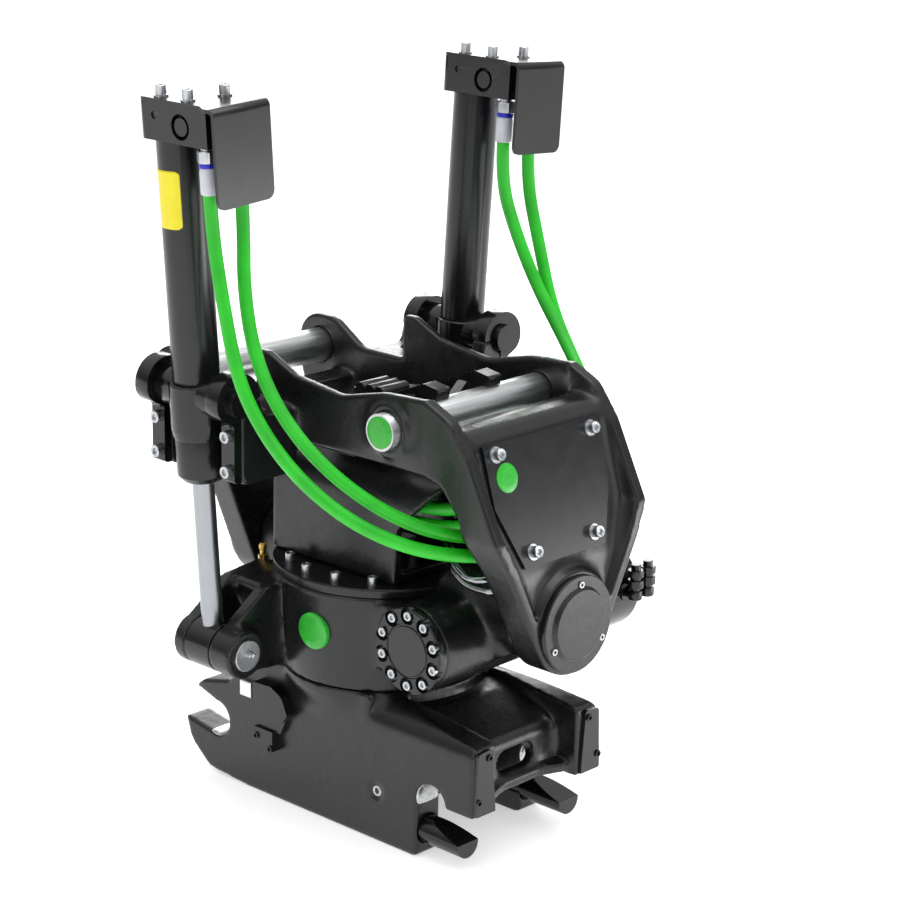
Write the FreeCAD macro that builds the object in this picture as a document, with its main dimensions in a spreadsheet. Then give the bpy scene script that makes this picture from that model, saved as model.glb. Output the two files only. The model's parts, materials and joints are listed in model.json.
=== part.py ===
"""Tilt rotator of an excavator, as a parametric document in millimetres.

X runs forward to the capped end of the tilt axle, Y to the right cylinder, Z up.
The origin is on the underside of the lower coupler, under the axis of rotation.
"""
import FreeCAD, Part
import math
import os
import Sketcher
from FreeCAD import Placement, Rotation, Vector

DOC = FreeCAD.newDocument("tilt_rotator")
SHEET = DOC.addObject("Spreadsheet::Sheet", "Sizes")

# Driving dimensions: alias, value in millimetres or degrees, what it measures
SIZES = [
    ("tilt_axis_z", 349, "height of the tilt axis"),
    ("clearance", 0.05, "radial running fit"),
    ("face_gap", 0.3, "gap between faces that move past each other"),
    ("wall_inner_y", 136, "half the width between the bracket walls"),
    ("wall", 14, "thickness of a bracket wall"),
    ("wall_bottom_z", 552, "underside of the walls between the legs"),
    ("wall_top_z", 656, "highest point of the front half of the walls"),
    ("saddle_drop", 56, "wall top between the two pins below the highest point"),
    ("horn_x", -104, "rear face of the horn on each wall"),
    ("pin_d", 50, "diameter of the upper pins"),
    ("pin_spacing", 430, "centre distance of the upper pins"),
    ("front_pin_x", 156, "place of the front upper pin"),
    ("front_pin_z", 603, "height of the front upper pin"),
    ("rear_pin_z", 590, "height of the rear upper pin"),
    ("pin_half_length", 171, "half the length of an upper pin"),
    ("pin_boss_r", 37, "radius of the boss round an upper pin"),
    ("hump_r", 45, "radius of the wall round the rear pin"),
    ("front_rim_x", 345, "foremost point of the front casting"),
    ("front_joint_x", 215, "where the front casting meets the walls"),
    ("rim", 13, "thickness of the rim of the front casting"),
    ("web", 15, "thickness of the panel of the front casting"),
    ("ring_r", 72, "outer radius of a tilt bearing ring"),
    ("ring_front_x", 350, "front face of the front bearing ring"),
    ("ring_length", 50, "length of the front bearing ring"),
    ("rear_plate_x", -198, "front face of the rear bearing plate"),
    ("rear_plate_t", 45, "thickness of the rear bearing plate"),
    ("axle_r", 40, "radius of the tilt axle journals"),
    ("bush_t", 5, "wall of a tilt bearing bush"),
    ("cap_r", 67, "radius of an axle cap"),
    ("cap_t", 8, "thickness of an axle cap"),
    ("cap_disc_r", 48, "radius of the raised disc on an axle cap"),
    ("cap_disc_t", 5, "height of the raised disc on an axle cap"),
    ("cover_t", 4, "thickness of the pressed front cover"),
    ("cylinder_x", -101, "place of both tilt cylinders along the axis"),
    ("trunnion_y", 257, "trunnion axis from the middle"),
    ("trunnion_z", 625, "height of the trunnion axis"),
    ("trunnion_r", 20, "radius of the trunnion pins"),
    ("trunnion_arm_x", 70, "carrier arm from the cylinder axis"),
    ("trunnion_arm_t", 25, "thickness of a carrier arm"),
    ("trunnion_cap_r", 38, "outer radius of a trunnion cap"),
    ("carrier_y", 253, "outer face of the trunnion carriers"),
    ("carrier_bottom_z", 508, "underside of the trunnion carriers"),
    ("strap_t", 13, "thickness of the strap of a trunnion cap"),
    ("rod_pin_y", 232, "rod pin axis from the middle"),
    ("rod_pin_z", 260, "height of the rod pin axis"),
    ("rod_pin_r", 18, "radius of the rod pins"),
    ("ear_r", 34, "outer radius of the clevis ears"),
    ("eye_w", 49, "width of the rod eye"),
    ("ear_gap", 1, "gap between the rod eye and an ear"),
    ("front_ear_t", 40, "length of the front clevis boss"),
    ("arm_t", 21, "thickness of a clevis arm"),
    ("rear_ear_t", 21, "thickness of the rear clevis ear"),
    ("barrel_r", 32, "outer radius of a cylinder barrel"),
    ("bore_r", 25, "bore radius of a cylinder"),
    ("rod_r", 15, "radius of a piston rod"),
    ("barrel_top", 346, "top of the barrel above the trunnion"),
    ("gland_bottom", -124, "bottom of the gland below the trunnion"),
    ("collar_r", 38, "radius of the trunnion collar"),
    ("collar_up", 15, "trunnion collar above its axis"),
    ("collar_down", 62, "trunnion collar below its axis"),
    ("block_w", 77, "width of a valve block"),
    ("block_h", 50, "height of a valve block"),
    ("block_back", 34, "valve block behind the cylinder axis"),
    ("block_front", 96, "valve block in front of the cylinder axis"),
    ("guard_w", 96, "width of a hose guard"),
    ("guard_h", 129, "height of a hose guard"),
    ("guard_x", 122, "front face of a hose guard before the cylinder axis"),
    ("guard_t", 5, "sheet thickness of a hose guard"),
    ("hose_d", 18, "outer diameter of a hose"),
    ("fitting_y", 27, "hose fittings from the middle of a valve block"),
    ("housing_r", 146, "radius of the rotor housing at its seam"),
    ("housing_bottom_z", 210, "seam between rotor housing and coupler"),
    ("rim_z", 350, "top of the rotor housing under its cover"),
    ("rim_r", 158, "radius of the rim of the rotor housing"),
    ("cover_plate_t", 12, "thickness of the housing cover"),
    ("cover_bolt_r", 137, "bolt circle of the housing cover"),
    ("swivel_half_w", 95, "half the width of the swivel housing"),
    ("swivel_top_z", 530, "top of the swivel housing"),
    ("swivel_rear_x", -130, "rear face of the swivel housing"),
    ("swivel_wall", 14, "wall of the swivel housing"),
    ("worm_x", 187, "worm axis before the axis of rotation"),
    ("worm_z", 304, "height of the worm axis"),
    ("worm_case_r", 60, "outer radius of the worm housing"),
    ("worm_bore_r", 44, "bore radius of the worm housing"),
    ("worm_end_y", 134, "end face of the worm housing from the middle"),
    ("end_cap_t", 14, "thickness of the worm end cap"),
    ("end_bolt_r", 49, "bolt circle of the worm end cap"),
    ("worm_r", 43, "radius of the worm"),
    ("gear_r", 143, "radius of the ring gear"),
    ("gear_t", 40, "thickness of the ring gear"),
    ("motor_r", 62, "radius of the drive motor"),
    ("motor_length", 134, "length of the drive motor"),
    ("coupler_half_w", 127, "half the width of the lower coupler"),
    ("coupler_pin_r", 25.5, "mouth radius for the pins of a tool"),
    ("rear_hook_x", -216, "centre of the rear hook mouth"),
    ("hook_z", 87, "height of both tool pin centres"),
    ("coupler_wall", 45, "thickness of the side walls of the coupler"),
    ("shoulder_r", 40, "rounding of the coupler along its upper outer edges"),
    ("neck_r", 128, "radius of the round neck of the coupler"),
    ("block_inner_y", 87, "inner face of the front blocks"),
    ("block_reach", 77, "front face of the front blocks before the front seat"),
    ("face_plate_t", 5, "thickness of the plates on the front blocks"),
    ("lock_pin_y", 103, "lock pins from the middle"),
    ("lock_pin_z", 36, "height of the lock pins"),
    ("lock_pin_r", 20, "radius of the lock pins"),
    ("lock_pin_reach", 48, "tip of the lock pins before the seat when they are out"),
    ("lock_pin_length", 162, "length of a lock pin"),
    ("lock_body_l", 140, "length of the lock cylinder"),
    ("lock_body_r", 23, "outer radius of the lock cylinder"),
    ("lock_end_t", 12, "thickness of the ends of the lock cylinder"),
    ("yoke_t", 16, "thickness of the crosshead between the lock pins"),
    ("lock_stroke", 60, "travel of the lock pins"),
    ("bolt_head_r", 8, "radius of the head of a cap screw"),
    ("bolt_head_h", 10, "height of the head of a cap screw"),
    ("bolt_r", 5, "radius of the shank of a cap screw"),
]


class Size:
    """A length that keeps its number and the expression that it comes from."""

    def __init__(self, value, text):
        self.value = float(value)
        self.text = text

    def join(self, other, sign, swap=False):
        left, right = (other, self) if swap else (self, other)
        left_text = left.text if isinstance(left, Size) else repr(float(left))
        right_text = right.text if isinstance(right, Size) else repr(float(right))
        left_value, right_value = float(left), float(right)
        results = {"+": left_value + right_value, "-": left_value - right_value,
                   "*": left_value * right_value}
        value = left_value / right_value if sign == "/" else results[sign]
        return Size(value, "(%s %s %s)" % (left_text, sign, right_text))

    def __float__(self):
        return self.value

    def __add__(self, other):
        return self.join(other, "+")

    def __radd__(self, other):
        return self.join(other, "+", True)

    def __sub__(self, other):
        return self.join(other, "-")

    def __rsub__(self, other):
        return self.join(other, "-", True)

    def __mul__(self, other):
        return self.join(other, "*")

    def __rmul__(self, other):
        return self.join(other, "*", True)

    def __truediv__(self, other):
        return self.join(other, "/")

    def __neg__(self):
        return self.join(-1.0, "*")


class Names:
    """Every driving dimension as an attribute."""


S = Names()
for row, (alias, number, meaning) in enumerate(SIZES, start=1):
    SHEET.set("A%d" % row, meaning)
    SHEET.set("B%d" % row, str(number))
    SHEET.setAlias("B%d" % row, alias)
    setattr(S, alias, Size(number, "Sizes." + alias))
DOC.recompute()

NODES = {}


def bind(obj, **sizes):
    """Set properties of an object and bind those that come from the sheet."""
    for name, size in sizes.items():
        setattr(obj, name, float(size))
        if isinstance(size, Size):
            obj.setExpression(name, size.text)


def place(obj, x=0, y=0, z=0, turn=None):
    """Put an object at a place, its coordinates bound to the sheet."""
    obj.Placement = Placement(Vector(float(x), float(y), float(z)), turn or Rotation())
    for axis, size in (("x", x), ("y", y), ("z", z)):
        if isinstance(size, Size):
            obj.setExpression("Placement.Base." + axis, size.text)
    return obj


def keep(obj, label):
    """Name an object as one piece of the product."""
    obj.Label = label
    NODES[label] = obj
    return obj


ALONG_X = Rotation(Vector(0, 1, 0), 90)
ALONG_Y = Rotation(Vector(1, 0, 0), -90)
ALONG_Z = Rotation()


def cylinder(radius, height, x=0, y=0, z=0, turn=ALONG_Z):
    """A cylinder from its base centre along the turned Z axis."""
    obj = DOC.addObject("Part::Cylinder", "round")
    bind(obj, Radius=radius, Height=height)
    return place(obj, x, y, z, turn)


def box(x0, x1, y0, y1, z0, z1):
    """A box between two values along each axis."""
    obj = DOC.addObject("Part::Box", "block")
    bind(obj, Length=x1 - x0, Width=y1 - y0, Height=z1 - z0)
    return place(obj, x0, y0, z0)


def fuse(*parts):
    obj = DOC.addObject("Part::MultiFuse", "joined")
    obj.Shapes = list(parts)
    return obj


def common(*parts):
    obj = DOC.addObject("Part::MultiCommon", "shared")
    obj.Shapes = list(parts)
    return obj


def cut(base, *tools):
    obj = DOC.addObject("Part::Cut", "cut")
    obj.Base = base
    obj.Tool = tools[0] if len(tools) == 1 else fuse(*tools)
    return obj


def group(*parts):
    """Separate solids that share one node."""
    obj = DOC.addObject("Part::Compound", "group")
    obj.Links = list(parts)
    return obj


def copies(source, places):
    """Copies of one solid, each a link with its own placement."""
    links = []
    for point, turn in places:
        link = DOC.addObject("App::Link", "copy")
        link.LinkedObject = source
        link.LinkTransform = False
        place(link, *point, turn=turn)
        links.append(link)
    return links


def mirrored(source):
    """The same shape on the other side of the middle plane."""
    obj = DOC.addObject("Part::Mirroring", "mirrored")
    obj.Source = source
    obj.Base = Vector(0, 0, 0)
    obj.Normal = Vector(0, 1, 0)
    return obj


def rounded_outline(sketch, points):
    """A closed outline of lines whose corners are arcs of the given radius.

    Each corner point is fixed by two distances and each arc by its radius.
    """
    count = len(points)
    corners = [Vector(float(p[0]), float(p[1]), 0) for p in points]
    radii = [p[2] if len(p) > 2 else 0 for p in points]
    starts, ends, arcs = [], [], []
    for i in range(count):
        here = corners[i]
        back = (corners[i - 1] - here).normalize()
        ahead = (corners[(i + 1) % count] - here).normalize()
        radius = float(radii[i])
        if radius == 0:
            starts.append(here)
            ends.append(here)
            arcs.append(None)
            continue
        turn = back.getAngle(ahead)
        reach = radius / math.tan(turn / 2)
        centre = here + (back + ahead).normalize() * (radius / math.sin(turn / 2))
        starts.append(here + back * reach)
        ends.append(here + ahead * reach)
        leftwards = ahead.cross(back).z > 0
        first, last = (starts[i], ends[i]) if leftwards else (ends[i], starts[i])
        circle = Part.Circle(centre, Vector(0, 0, 1), radius)
        arc = Part.ArcOfCircle(circle, math.atan2(first.y - centre.y, first.x - centre.x),
                               math.atan2(last.y - centre.y, last.x - centre.x))
        arcs.append((arc, 1 if leftwards else 2))
    for i in range(count):
        j = (i + 1) % count
        side = corners[j] - corners[i]
        room = (starts[j] - ends[i]).dot(side)
        if room <= 0:
            raise ValueError("no room for the arcs between corners %d and %d" % (i, j))
    lines = [Part.LineSegment(ends[i], starts[(i + 1) % count]) for i in range(count)]
    line_ids = sketch.addGeometry(lines, False)
    rules, bound = [], []

    def fix(kind, *where, size):
        if isinstance(size, Size):
            bound.append((sketch.ConstraintCount + len(rules), size.text))
        rules.append(Sketcher.Constraint(kind, *where, float(size)))

    for i in range(count):
        before, after = line_ids[i - 1], line_ids[i]
        if arcs[i] is None:
            rules.append(Sketcher.Constraint("Coincident", before, 2, after, 1))
            point, end = after, 1
        else:
            arc, first = arcs[i]
            arc_id = sketch.addGeometry([arc], False)[0]
            point = sketch.addGeometry([Part.Point(corners[i])], True)[0]
            end = 1
            rules.append(Sketcher.Constraint("Tangent", before, 2, arc_id, first))
            rules.append(Sketcher.Constraint("Tangent", arc_id, 3 - first, after, 1))
            rules.append(Sketcher.Constraint("PointOnObject", point, 1, before))
            rules.append(Sketcher.Constraint("PointOnObject", point, 1, after))
            fix("Radius", arc_id, size=radii[i])
        fix("DistanceX", point, end, size=points[i][0])
        fix("DistanceY", point, end, size=points[i][1])
    sketch.addConstraint(rules)
    for index, text in bound:
        sketch.setExpression("Constraints[%d]" % index, text)


def new_body(name):
    return DOC.addObject("PartDesign::Body", name)


def new_sketch(body, role, offset=0):
    """A sketch on an origin plane of its own body, moved along the plane's normal."""
    plane = [f for f in body.Origin.OriginFeatures if f.Role == role][0]
    sketch = body.newObject("Sketcher::SketchObject", "outline")
    sketch.AttachmentSupport = [(plane, "")]
    sketch.MapMode = "FlatFace"
    sketch.AttachmentOffset = Placement(Vector(0, 0, float(offset)), Rotation())
    if isinstance(offset, Size):
        sketch.setExpression("AttachmentOffset.Base.z", offset.text)
    return sketch


def pad(points, role, start, length, body=None):
    """A body whose outline on a plane is padded from a start along the normal.

    The normals are +Z on XY_Plane, -Y on XZ_Plane and +X on YZ_Plane.
    """
    body = body or new_body("plate")
    sketch = new_sketch(body, role, start)
    rounded_outline(sketch, points)
    feature = body.newObject("PartDesign::Pad", "pad")
    feature.Profile = sketch
    bind(feature, Length=length)
    return body


def across(points, y0, y1):
    """An outline in X and Z padded from y0 to y1."""
    return pad(points, "XZ_Plane", -y1, y1 - y0)


def along(points, x0, x1):
    """An outline in Y and Z padded from x0 to x1."""
    return pad(points, "YZ_Plane", x0, x1 - x0)


def upward(points, z0, z1):
    """An outline in X and Y padded from z0 to z1."""
    return pad(points, "XY_Plane", z0, z1 - z0)


def turned(points, x=0, y=0, z=0, turn=ALONG_Z):
    """A body turned about its own Z axis from an outline of radius and height."""
    body = new_body("turned")
    sketch = new_sketch(body, "XZ_Plane")
    rounded_outline(sketch, points)
    feature = body.newObject("PartDesign::Revolution", "turned")
    feature.Profile = sketch
    feature.ReferenceAxis = (sketch, ["V_Axis"])
    feature.Angle = 360
    return place(body, x, y, z, turn)


def cap_screw(head_r, head_h, shank_r, shank_l):
    """A cap screw with its head up and the seat of its head at zero."""
    return turned([(0, -shank_l), (shank_r, -shank_l), (shank_r, 0), (head_r, 0),
                   (head_r, head_h, 1), (0, head_h)])


WALL_OUTER = S.wall_inner_y + S.wall
REAR_PIN_X = S.front_pin_x - S.pin_spacing
BORE = S.clearance
PANEL_TOP = (279, 600)
PANEL_FOOT = (333, 425)
PANEL_SLOPE = (PANEL_FOOT[0] - PANEL_TOP[0]) / (PANEL_TOP[1] - PANEL_FOOT[1])
PANEL_NORMAL = Vector(1, 0, PANEL_SLOPE).normalize()
COVER_BOLTS = [(93, 584), (-93, 584), (61, 455), (-61, 455)]
LEAN = math.degrees(math.atan2(float(S.trunnion_y - S.rod_pin_y),
                               float(S.trunnion_z - S.rod_pin_z)))


def panel_x(z):
    """The front face of the inclined panel at a height."""
    return PANEL_TOP[0] + (PANEL_TOP[1] - z) * PANEL_SLOPE


def upper_pin(x, z):
    return cylinder(S.pin_d / 2, S.pin_half_length * 2, x, -S.pin_half_length, z, ALONG_Y)


def pin_bores():
    """Tools that open both walls for the upper pins."""
    radius = S.pin_d / 2 + BORE
    length = S.pin_half_length * 2 + 20
    return [cylinder(radius, length, x, -S.pin_half_length - 10, z, ALONG_Y)
            for x, z in ((S.front_pin_x, S.front_pin_z), (REAR_PIN_X, S.rear_pin_z))]


def side_plate():
    """The right wall, with the hump round the rear pin, the saddle and the horn."""
    hump_left = REAR_PIN_X - S.hump_r
    hump_top = S.rear_pin_z + S.hump_r
    outline = [
        (hump_left + 20, 500, 15),
        (S.rear_plate_x + 13, 500, 20),
        (S.rear_plate_x + 48, S.wall_bottom_z, 25),
        (S.front_joint_x, S.wall_bottom_z),
        (S.front_joint_x, S.wall_top_z - 3),
        (140, S.wall_top_z - 7, 70),
        (60, S.wall_top_z - 26, 60),
        (-30, S.wall_top_z - 15, 50),
        (S.horn_x + 22, S.wall_top_z + 8, 12),
        (S.horn_x, S.wall_top_z + 8, 7),
        (S.horn_x, S.wall_top_z - S.saddle_drop, 4),
        (REAR_PIN_X + 84, S.wall_top_z - S.saddle_drop, 30),
        (REAR_PIN_X + 29, hump_top, 45),
        (hump_left, hump_top, 42),
        (hump_left, 560, 30),
    ]
    plate = across(outline, S.wall_inner_y, WALL_OUTER)
    bosses = [cylinder(S.pin_boss_r, 8, x, WALL_OUTER, z, ALONG_Y)
              for x, z in ((S.front_pin_x, S.front_pin_z), (REAR_PIN_X, S.rear_pin_z))]
    return cut(fuse(plate, *bosses), *pin_bores())


def shield(half_width, top, shoulder, foot_y, foot_z, round_off):
    """A shield outline in Y and Z that narrows towards the tilt axis."""
    return [(-half_width, top), (-half_width, shoulder, round_off), (-foot_y, foot_z),
            (foot_y, foot_z), (half_width, shoulder, round_off), (half_width, top)]


def front_casting():
    """The inclined front of the bracket: rim, skirts, panel and bearing ring."""
    ring_bottom = S.tilt_axis_z - S.ring_r
    ring_back = S.ring_front_x - S.ring_length
    side = across([
        (S.front_joint_x, S.wall_bottom_z),
        (245, S.wall_bottom_z - 8, 30),
        (276, 507, 25),
        (ring_back, 425, 30),
        (ring_back, ring_bottom),
        (S.ring_front_x, ring_bottom),
        (S.ring_front_x, 440, 30),
        (S.front_rim_x, 485, 25),
        (292, 590, 45),
        (258, 634, 40),
        (S.front_joint_x, S.wall_top_z - 3),
    ], -WALL_OUTER, WALL_OUTER)
    tangent_y, tangent_z = S.ring_r * 0.89, S.tilt_axis_z - S.ring_r * 0.454
    outer = along(shield(WALL_OUTER, 700, 485, tangent_y, tangent_z, 30), 200, 360)
    shell = common(side, outer)
    high = S.wall_top_z + 64
    recess_side = across([
        (180, high), (180, 603), (240, 617, 20), (264, 615, 18),
        (PANEL_TOP[0], PANEL_TOP[1], 12), (*PANEL_FOOT, 30), (335, S.tilt_axis_z), (420, S.tilt_axis_z),
        (420, high),
    ], -WALL_OUTER, WALL_OUTER)
    recess_front = along(shield(WALL_OUTER - S.rim - 6, high, 488, S.ring_r - 8, S.tilt_axis_z + 3,
                                30), 170, 430)
    recess = common(recess_side, recess_front)
    back_side = across([
        (150, 410), (150, 603 - S.web), (238, 617 - S.web, 15), (257, 614 - S.web, 12),
        (PANEL_TOP[0] - S.web, PANEL_TOP[1] - 4, 8), (PANEL_FOOT[0] - S.web, 425),
        (ring_back + 8, 410),
    ], -WALL_OUTER, WALL_OUTER)
    back_front = along(shield(S.wall_inner_y, 720, 488, 92, 412, 25), 140, 360)
    back = common(back_side, back_front)
    ring = cylinder(S.ring_r, S.ring_length, ring_back, 0, S.tilt_axis_z, ALONG_X)
    bore = cylinder(S.axle_r + S.bush_t + BORE, S.ring_length + 20, ring_back - 10, 0,
                    S.tilt_axis_z, ALONG_X)
    holes = screw_holes(COVER_BOLTS, 12)
    return cut(fuse(cut(shell, recess, back), ring), bore, *holes)


def cover_bolt_turn():
    return Rotation(Vector(0, 0, 1), PANEL_NORMAL)


def screw_holes(places, depth):
    """Blind holes for the screws of the front cover, square to the panel."""
    tools = []
    for y, z in places:
        start = Vector(panel_x(z), y, z) + PANEL_NORMAL * 10
        turn = Rotation(Vector(0, 0, 1), -PANEL_NORMAL)
        tools.append(cylinder(S.bolt_r + BORE, depth + 10, start.x, start.y, start.z, turn))
    return tools


def front_cover():
    """The pressed cover on the panel, held by four screws."""
    reach = S.cover_t / PANEL_NORMAL.x
    band = across([
        (panel_x(598), 598), (panel_x(438), 438), (panel_x(438) + reach, 438),
        (panel_x(598) + reach, 598),
    ], -WALL_OUTER, WALL_OUTER)
    outline = along([(-76, 430), (76, 430), (113, 520, 20), (113, 610), (-113, 610),
                     (-113, 520, 20)], 200, 400)
    return cut(common(band, outline), *screw_holes(COVER_BOLTS, 12))


def front_cover_bolts():
    bolt = turned([(0, -10), (S.bolt_r, -10), (S.bolt_r, 0), (11, 0), (11, 3), (S.bolt_head_r, 3),
                   (S.bolt_head_r, S.bolt_head_h + 3, 1), (0, S.bolt_head_h + 3)])
    places = []
    for y, z in COVER_BOLTS:
        seat = Vector(panel_x(z), y, z) + PANEL_NORMAL * float(S.cover_t)
        places.append(((seat.x, seat.y, seat.z), cover_bolt_turn()))
    return group(*copies(bolt, places))


def rear_casting():
    """The upright rear plate between the walls, with the rear bearing ring."""
    back_x = S.rear_plate_x - S.rear_plate_t
    ring_bottom = S.tilt_axis_z - S.ring_r
    plate = along([
        (-S.wall_inner_y, 560), (-S.wall_inner_y, 500, 25),
        (-S.ring_r * 0.932, S.tilt_axis_z - S.ring_r * 0.362),
        (S.ring_r * 0.932, S.tilt_axis_z - S.ring_r * 0.362),
        (S.wall_inner_y, 500, 25), (S.wall_inner_y, 560),
    ], back_x, S.rear_plate_x)
    ring = cylinder(S.ring_r, S.rear_plate_t, back_x, 0, S.tilt_axis_z, ALONG_X)
    pocket = along([(-108, 545, 10), (-108, 498, 20), (-58, 432, 15), (58, 432, 15),
                    (108, 498, 20), (108, 545, 10)], back_x - 1, back_x + 25)
    rib = box(back_x, back_x + 26, -8, 8, 432, 545)
    bore = cylinder(S.axle_r + S.bush_t + BORE, S.rear_plate_t + 20, back_x - 10, 0,
                    S.tilt_axis_z, ALONG_X)
    return cut(fuse(cut(fuse(plate, ring), pocket), rib), bore)


def tilt_bushes():
    """Two plain bushes, one in each bearing ring."""
    inner, outer = S.axle_r + BORE, S.axle_r + S.bush_t

    def bush(x, length):
        return turned([(inner, 0), (outer, 0), (outer, length), (inner, length)],
                      x, 0, S.tilt_axis_z, ALONG_X)

    return group(bush(S.ring_front_x - S.ring_length, S.ring_length),
                 bush(S.rear_plate_x - S.rear_plate_t, S.rear_plate_t))


def axle_caps():
    """The blank round caps over both ends of the tilt axle."""
    outline = [(0, 0), (S.cap_r, 0), (S.cap_r, S.cap_t, 2), (S.cap_disc_r + 4, S.cap_t),
               (S.cap_disc_r, S.cap_t + S.cap_disc_t, 2), (0, S.cap_t + S.cap_disc_t)]
    front = turned(outline, S.ring_front_x, 0, S.tilt_axis_z, ALONG_X)
    rear = turned(outline, S.rear_plate_x - S.rear_plate_t, 0, S.tilt_axis_z,
                  Rotation(Vector(0, 1, 0), -90))
    return group(front, rear)


CAP_BOLT_Z = (S.trunnion_z - 47, S.trunnion_z - 95)


def trunnion_carrier():
    """The right carrier: a web on the wall and two arms with half-round seats."""
    arm_outline = [
        (WALL_OUTER, S.carrier_bottom_z + 90), (WALL_OUTER, S.carrier_bottom_z),
        (S.carrier_y, S.carrier_bottom_z, 14), (S.carrier_y, S.trunnion_z),
        (S.trunnion_y - S.trunnion_cap_r, S.trunnion_z),
        (S.trunnion_y - S.trunnion_cap_r - 8, S.carrier_bottom_z + 90, 12),
    ]
    half = S.trunnion_arm_t / 2
    front = S.cylinder_x + S.trunnion_arm_x
    rear = S.cylinder_x - S.trunnion_arm_x
    arms = [along(arm_outline, x - half, x + half) for x in (front, rear)]
    web = box(rear, front, WALL_OUTER, WALL_OUTER + 38, S.carrier_bottom_z,
              S.carrier_bottom_z + 90)
    seat = cylinder(S.trunnion_r + BORE, 300, S.cylinder_x - 150, S.trunnion_y, S.trunnion_z,
                    ALONG_X)
    holes = [cylinder(S.bolt_r + BORE, 40, x, S.carrier_y + 1, z, Rotation(Vector(1, 0, 0), 90))
             for x in (front, rear) for z in CAP_BOLT_Z]
    return cut(fuse(web, *arms), seat, *holes)


def trunnion_caps(side):
    """Two hook-shaped caps that close the trunnion seats from the outside."""
    split = S.trunnion_z + S.clearance
    outer = S.carrier_y + S.strap_t
    top = S.trunnion_z + S.trunnion_cap_r
    foot = S.carrier_bottom_z + 6
    outline = [
        (S.trunnion_y - S.trunnion_cap_r, split), (S.carrier_y, split),
        (S.carrier_y, foot), (outer, foot, 6), (outer, S.trunnion_z - 30, 8),
        (S.trunnion_y + S.trunnion_cap_r, S.trunnion_z - 16, 24),
        (S.trunnion_y + S.trunnion_cap_r, top, S.trunnion_cap_r - 1),
        (S.trunnion_y - S.trunnion_cap_r, top, S.trunnion_cap_r - 1),
    ]
    caps = []
    for x in (S.cylinder_x + S.trunnion_arm_x, S.cylinder_x - S.trunnion_arm_x):
        half = S.trunnion_arm_t / 2
        hook = along(outline, x - half, x + half)
        seat = cylinder(S.trunnion_r + BORE, 40, x - 20, S.trunnion_y, S.trunnion_z, ALONG_X)
        holes = [cylinder(S.bolt_r + BORE, 30, x, outer + 5, z, Rotation(Vector(1, 0, 0), 90))
                 for z in CAP_BOLT_Z]
        cap = cut(hook, seat, *holes)
        caps.append(cap if side > 0 else mirrored(cap))
    return group(*caps)


def trunnion_cap_bolts():
    bolt = cap_screw(S.bolt_head_r, 8, S.bolt_r, 40)
    outer = S.carrier_y + S.strap_t
    places = []
    for side in (1, -1):
        turn = Rotation(Vector(0, 0, 1), Vector(0, side, 0))
        for x in (S.cylinder_x + S.trunnion_arm_x, S.cylinder_x - S.trunnion_arm_x):
            for z in CAP_BOLT_Z:
                places.append(((x, outer * side, z), turn))
    return group(*copies(bolt, places))


def coupling_guides():
    """Two tongues between the walls whose noses reach over the front pin."""
    over_pin = S.front_pin_z + S.pin_d / 2 + S.face_gap
    outline = [(-20, over_pin - 62), (60, over_pin - 62), (S.front_pin_x - 50, over_pin, 6),
               (S.front_pin_x + 5, over_pin), (S.front_pin_x + 8, over_pin + 14, 4),
               (S.front_pin_x - 20, over_pin + 18, 6), (40, over_pin - 25, 20),
               (-20, over_pin - 35)]
    return group(*[across(outline, y - 12, y + 12) for y in (-58, 42)])


def coupling_block():
    """The ribbed hydraulic coupling block between the guides."""
    base_z = S.front_pin_z - 45
    block = box(-30, 30, -34, 18, base_z, base_z + 45)
    ribs = [cylinder(9, 52, x, -34, base_z + 45, ALONG_Y) for x in (-18, 0, 18)]
    shelf = box(-60, 75, -S.wall_inner_y, S.wall_inner_y, base_z - 12, base_z)
    return fuse(block, shelf, *ribs)


def bracket():
    """Everything that stays with the machine's arm."""
    right = side_plate()
    keep(right, "right_side_plate")
    keep(mirrored(right), "left_side_plate")
    keep(front_casting(), "front_bearing_plate")
    keep(front_cover(), "front_cover")
    keep(front_cover_bolts(), "front_cover_bolts")
    keep(rear_casting(), "rear_bearing_plate")
    keep(tilt_bushes(), "tilt_bushes")
    keep(axle_caps(), "axle_caps")
    keep(upper_pin(S.front_pin_x, S.front_pin_z), "front_upper_pin")
    keep(upper_pin(REAR_PIN_X, S.rear_pin_z), "rear_upper_pin")
    carrier = trunnion_carrier()
    keep(carrier, "right_trunnion_carrier")
    keep(mirrored(carrier), "left_trunnion_carrier")
    keep(trunnion_caps(1), "right_trunnion_caps")
    keep(trunnion_caps(-1), "left_trunnion_caps")
    keep(trunnion_cap_bolts(), "trunnion_cap_bolts")
    keep(coupling_guides(), "coupling_guides")
    keep(coupling_block(), "coupling_block")


GEAR_Z = S.worm_z - S.gear_t / 2
NECK_GAP = 1
EAR_IN = S.eye_w / 2 + S.ear_gap


def clevis(side):
    """Two cast arms that carry the rod pin, with an open pocket between them."""
    arm = [
        (100, 214), (S.rod_pin_y, S.rod_pin_z - S.ear_r),
        (S.rod_pin_y + S.ear_r * 0.8, S.rod_pin_z + S.ear_r * 0.55, 8),
        (176, 338, 20), (100, 345),
    ]
    front_x, rear_x = S.cylinder_x + EAR_IN, S.cylinder_x - EAR_IN - S.rear_ear_t
    parts = []
    for x, width in ((front_x, S.front_ear_t), (rear_x, S.rear_ear_t)):
        parts.append(along(arm, x, x + S.arm_t))
        parts.append(cylinder(S.ear_r, width, x, S.rod_pin_y, S.rod_pin_z, ALONG_X))
    parts.append(along([(100, 290), (155, 290, 8), (178, 337, 10), (100, 345)],
                       rear_x, front_x + 5))
    parts.append(along([(100, 214), (165, 214), (165, 236, 6), (100, 250)],
                       rear_x, front_x + 5))
    whole = fuse(*parts)
    return whole if side > 0 else mirrored(whole)


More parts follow.
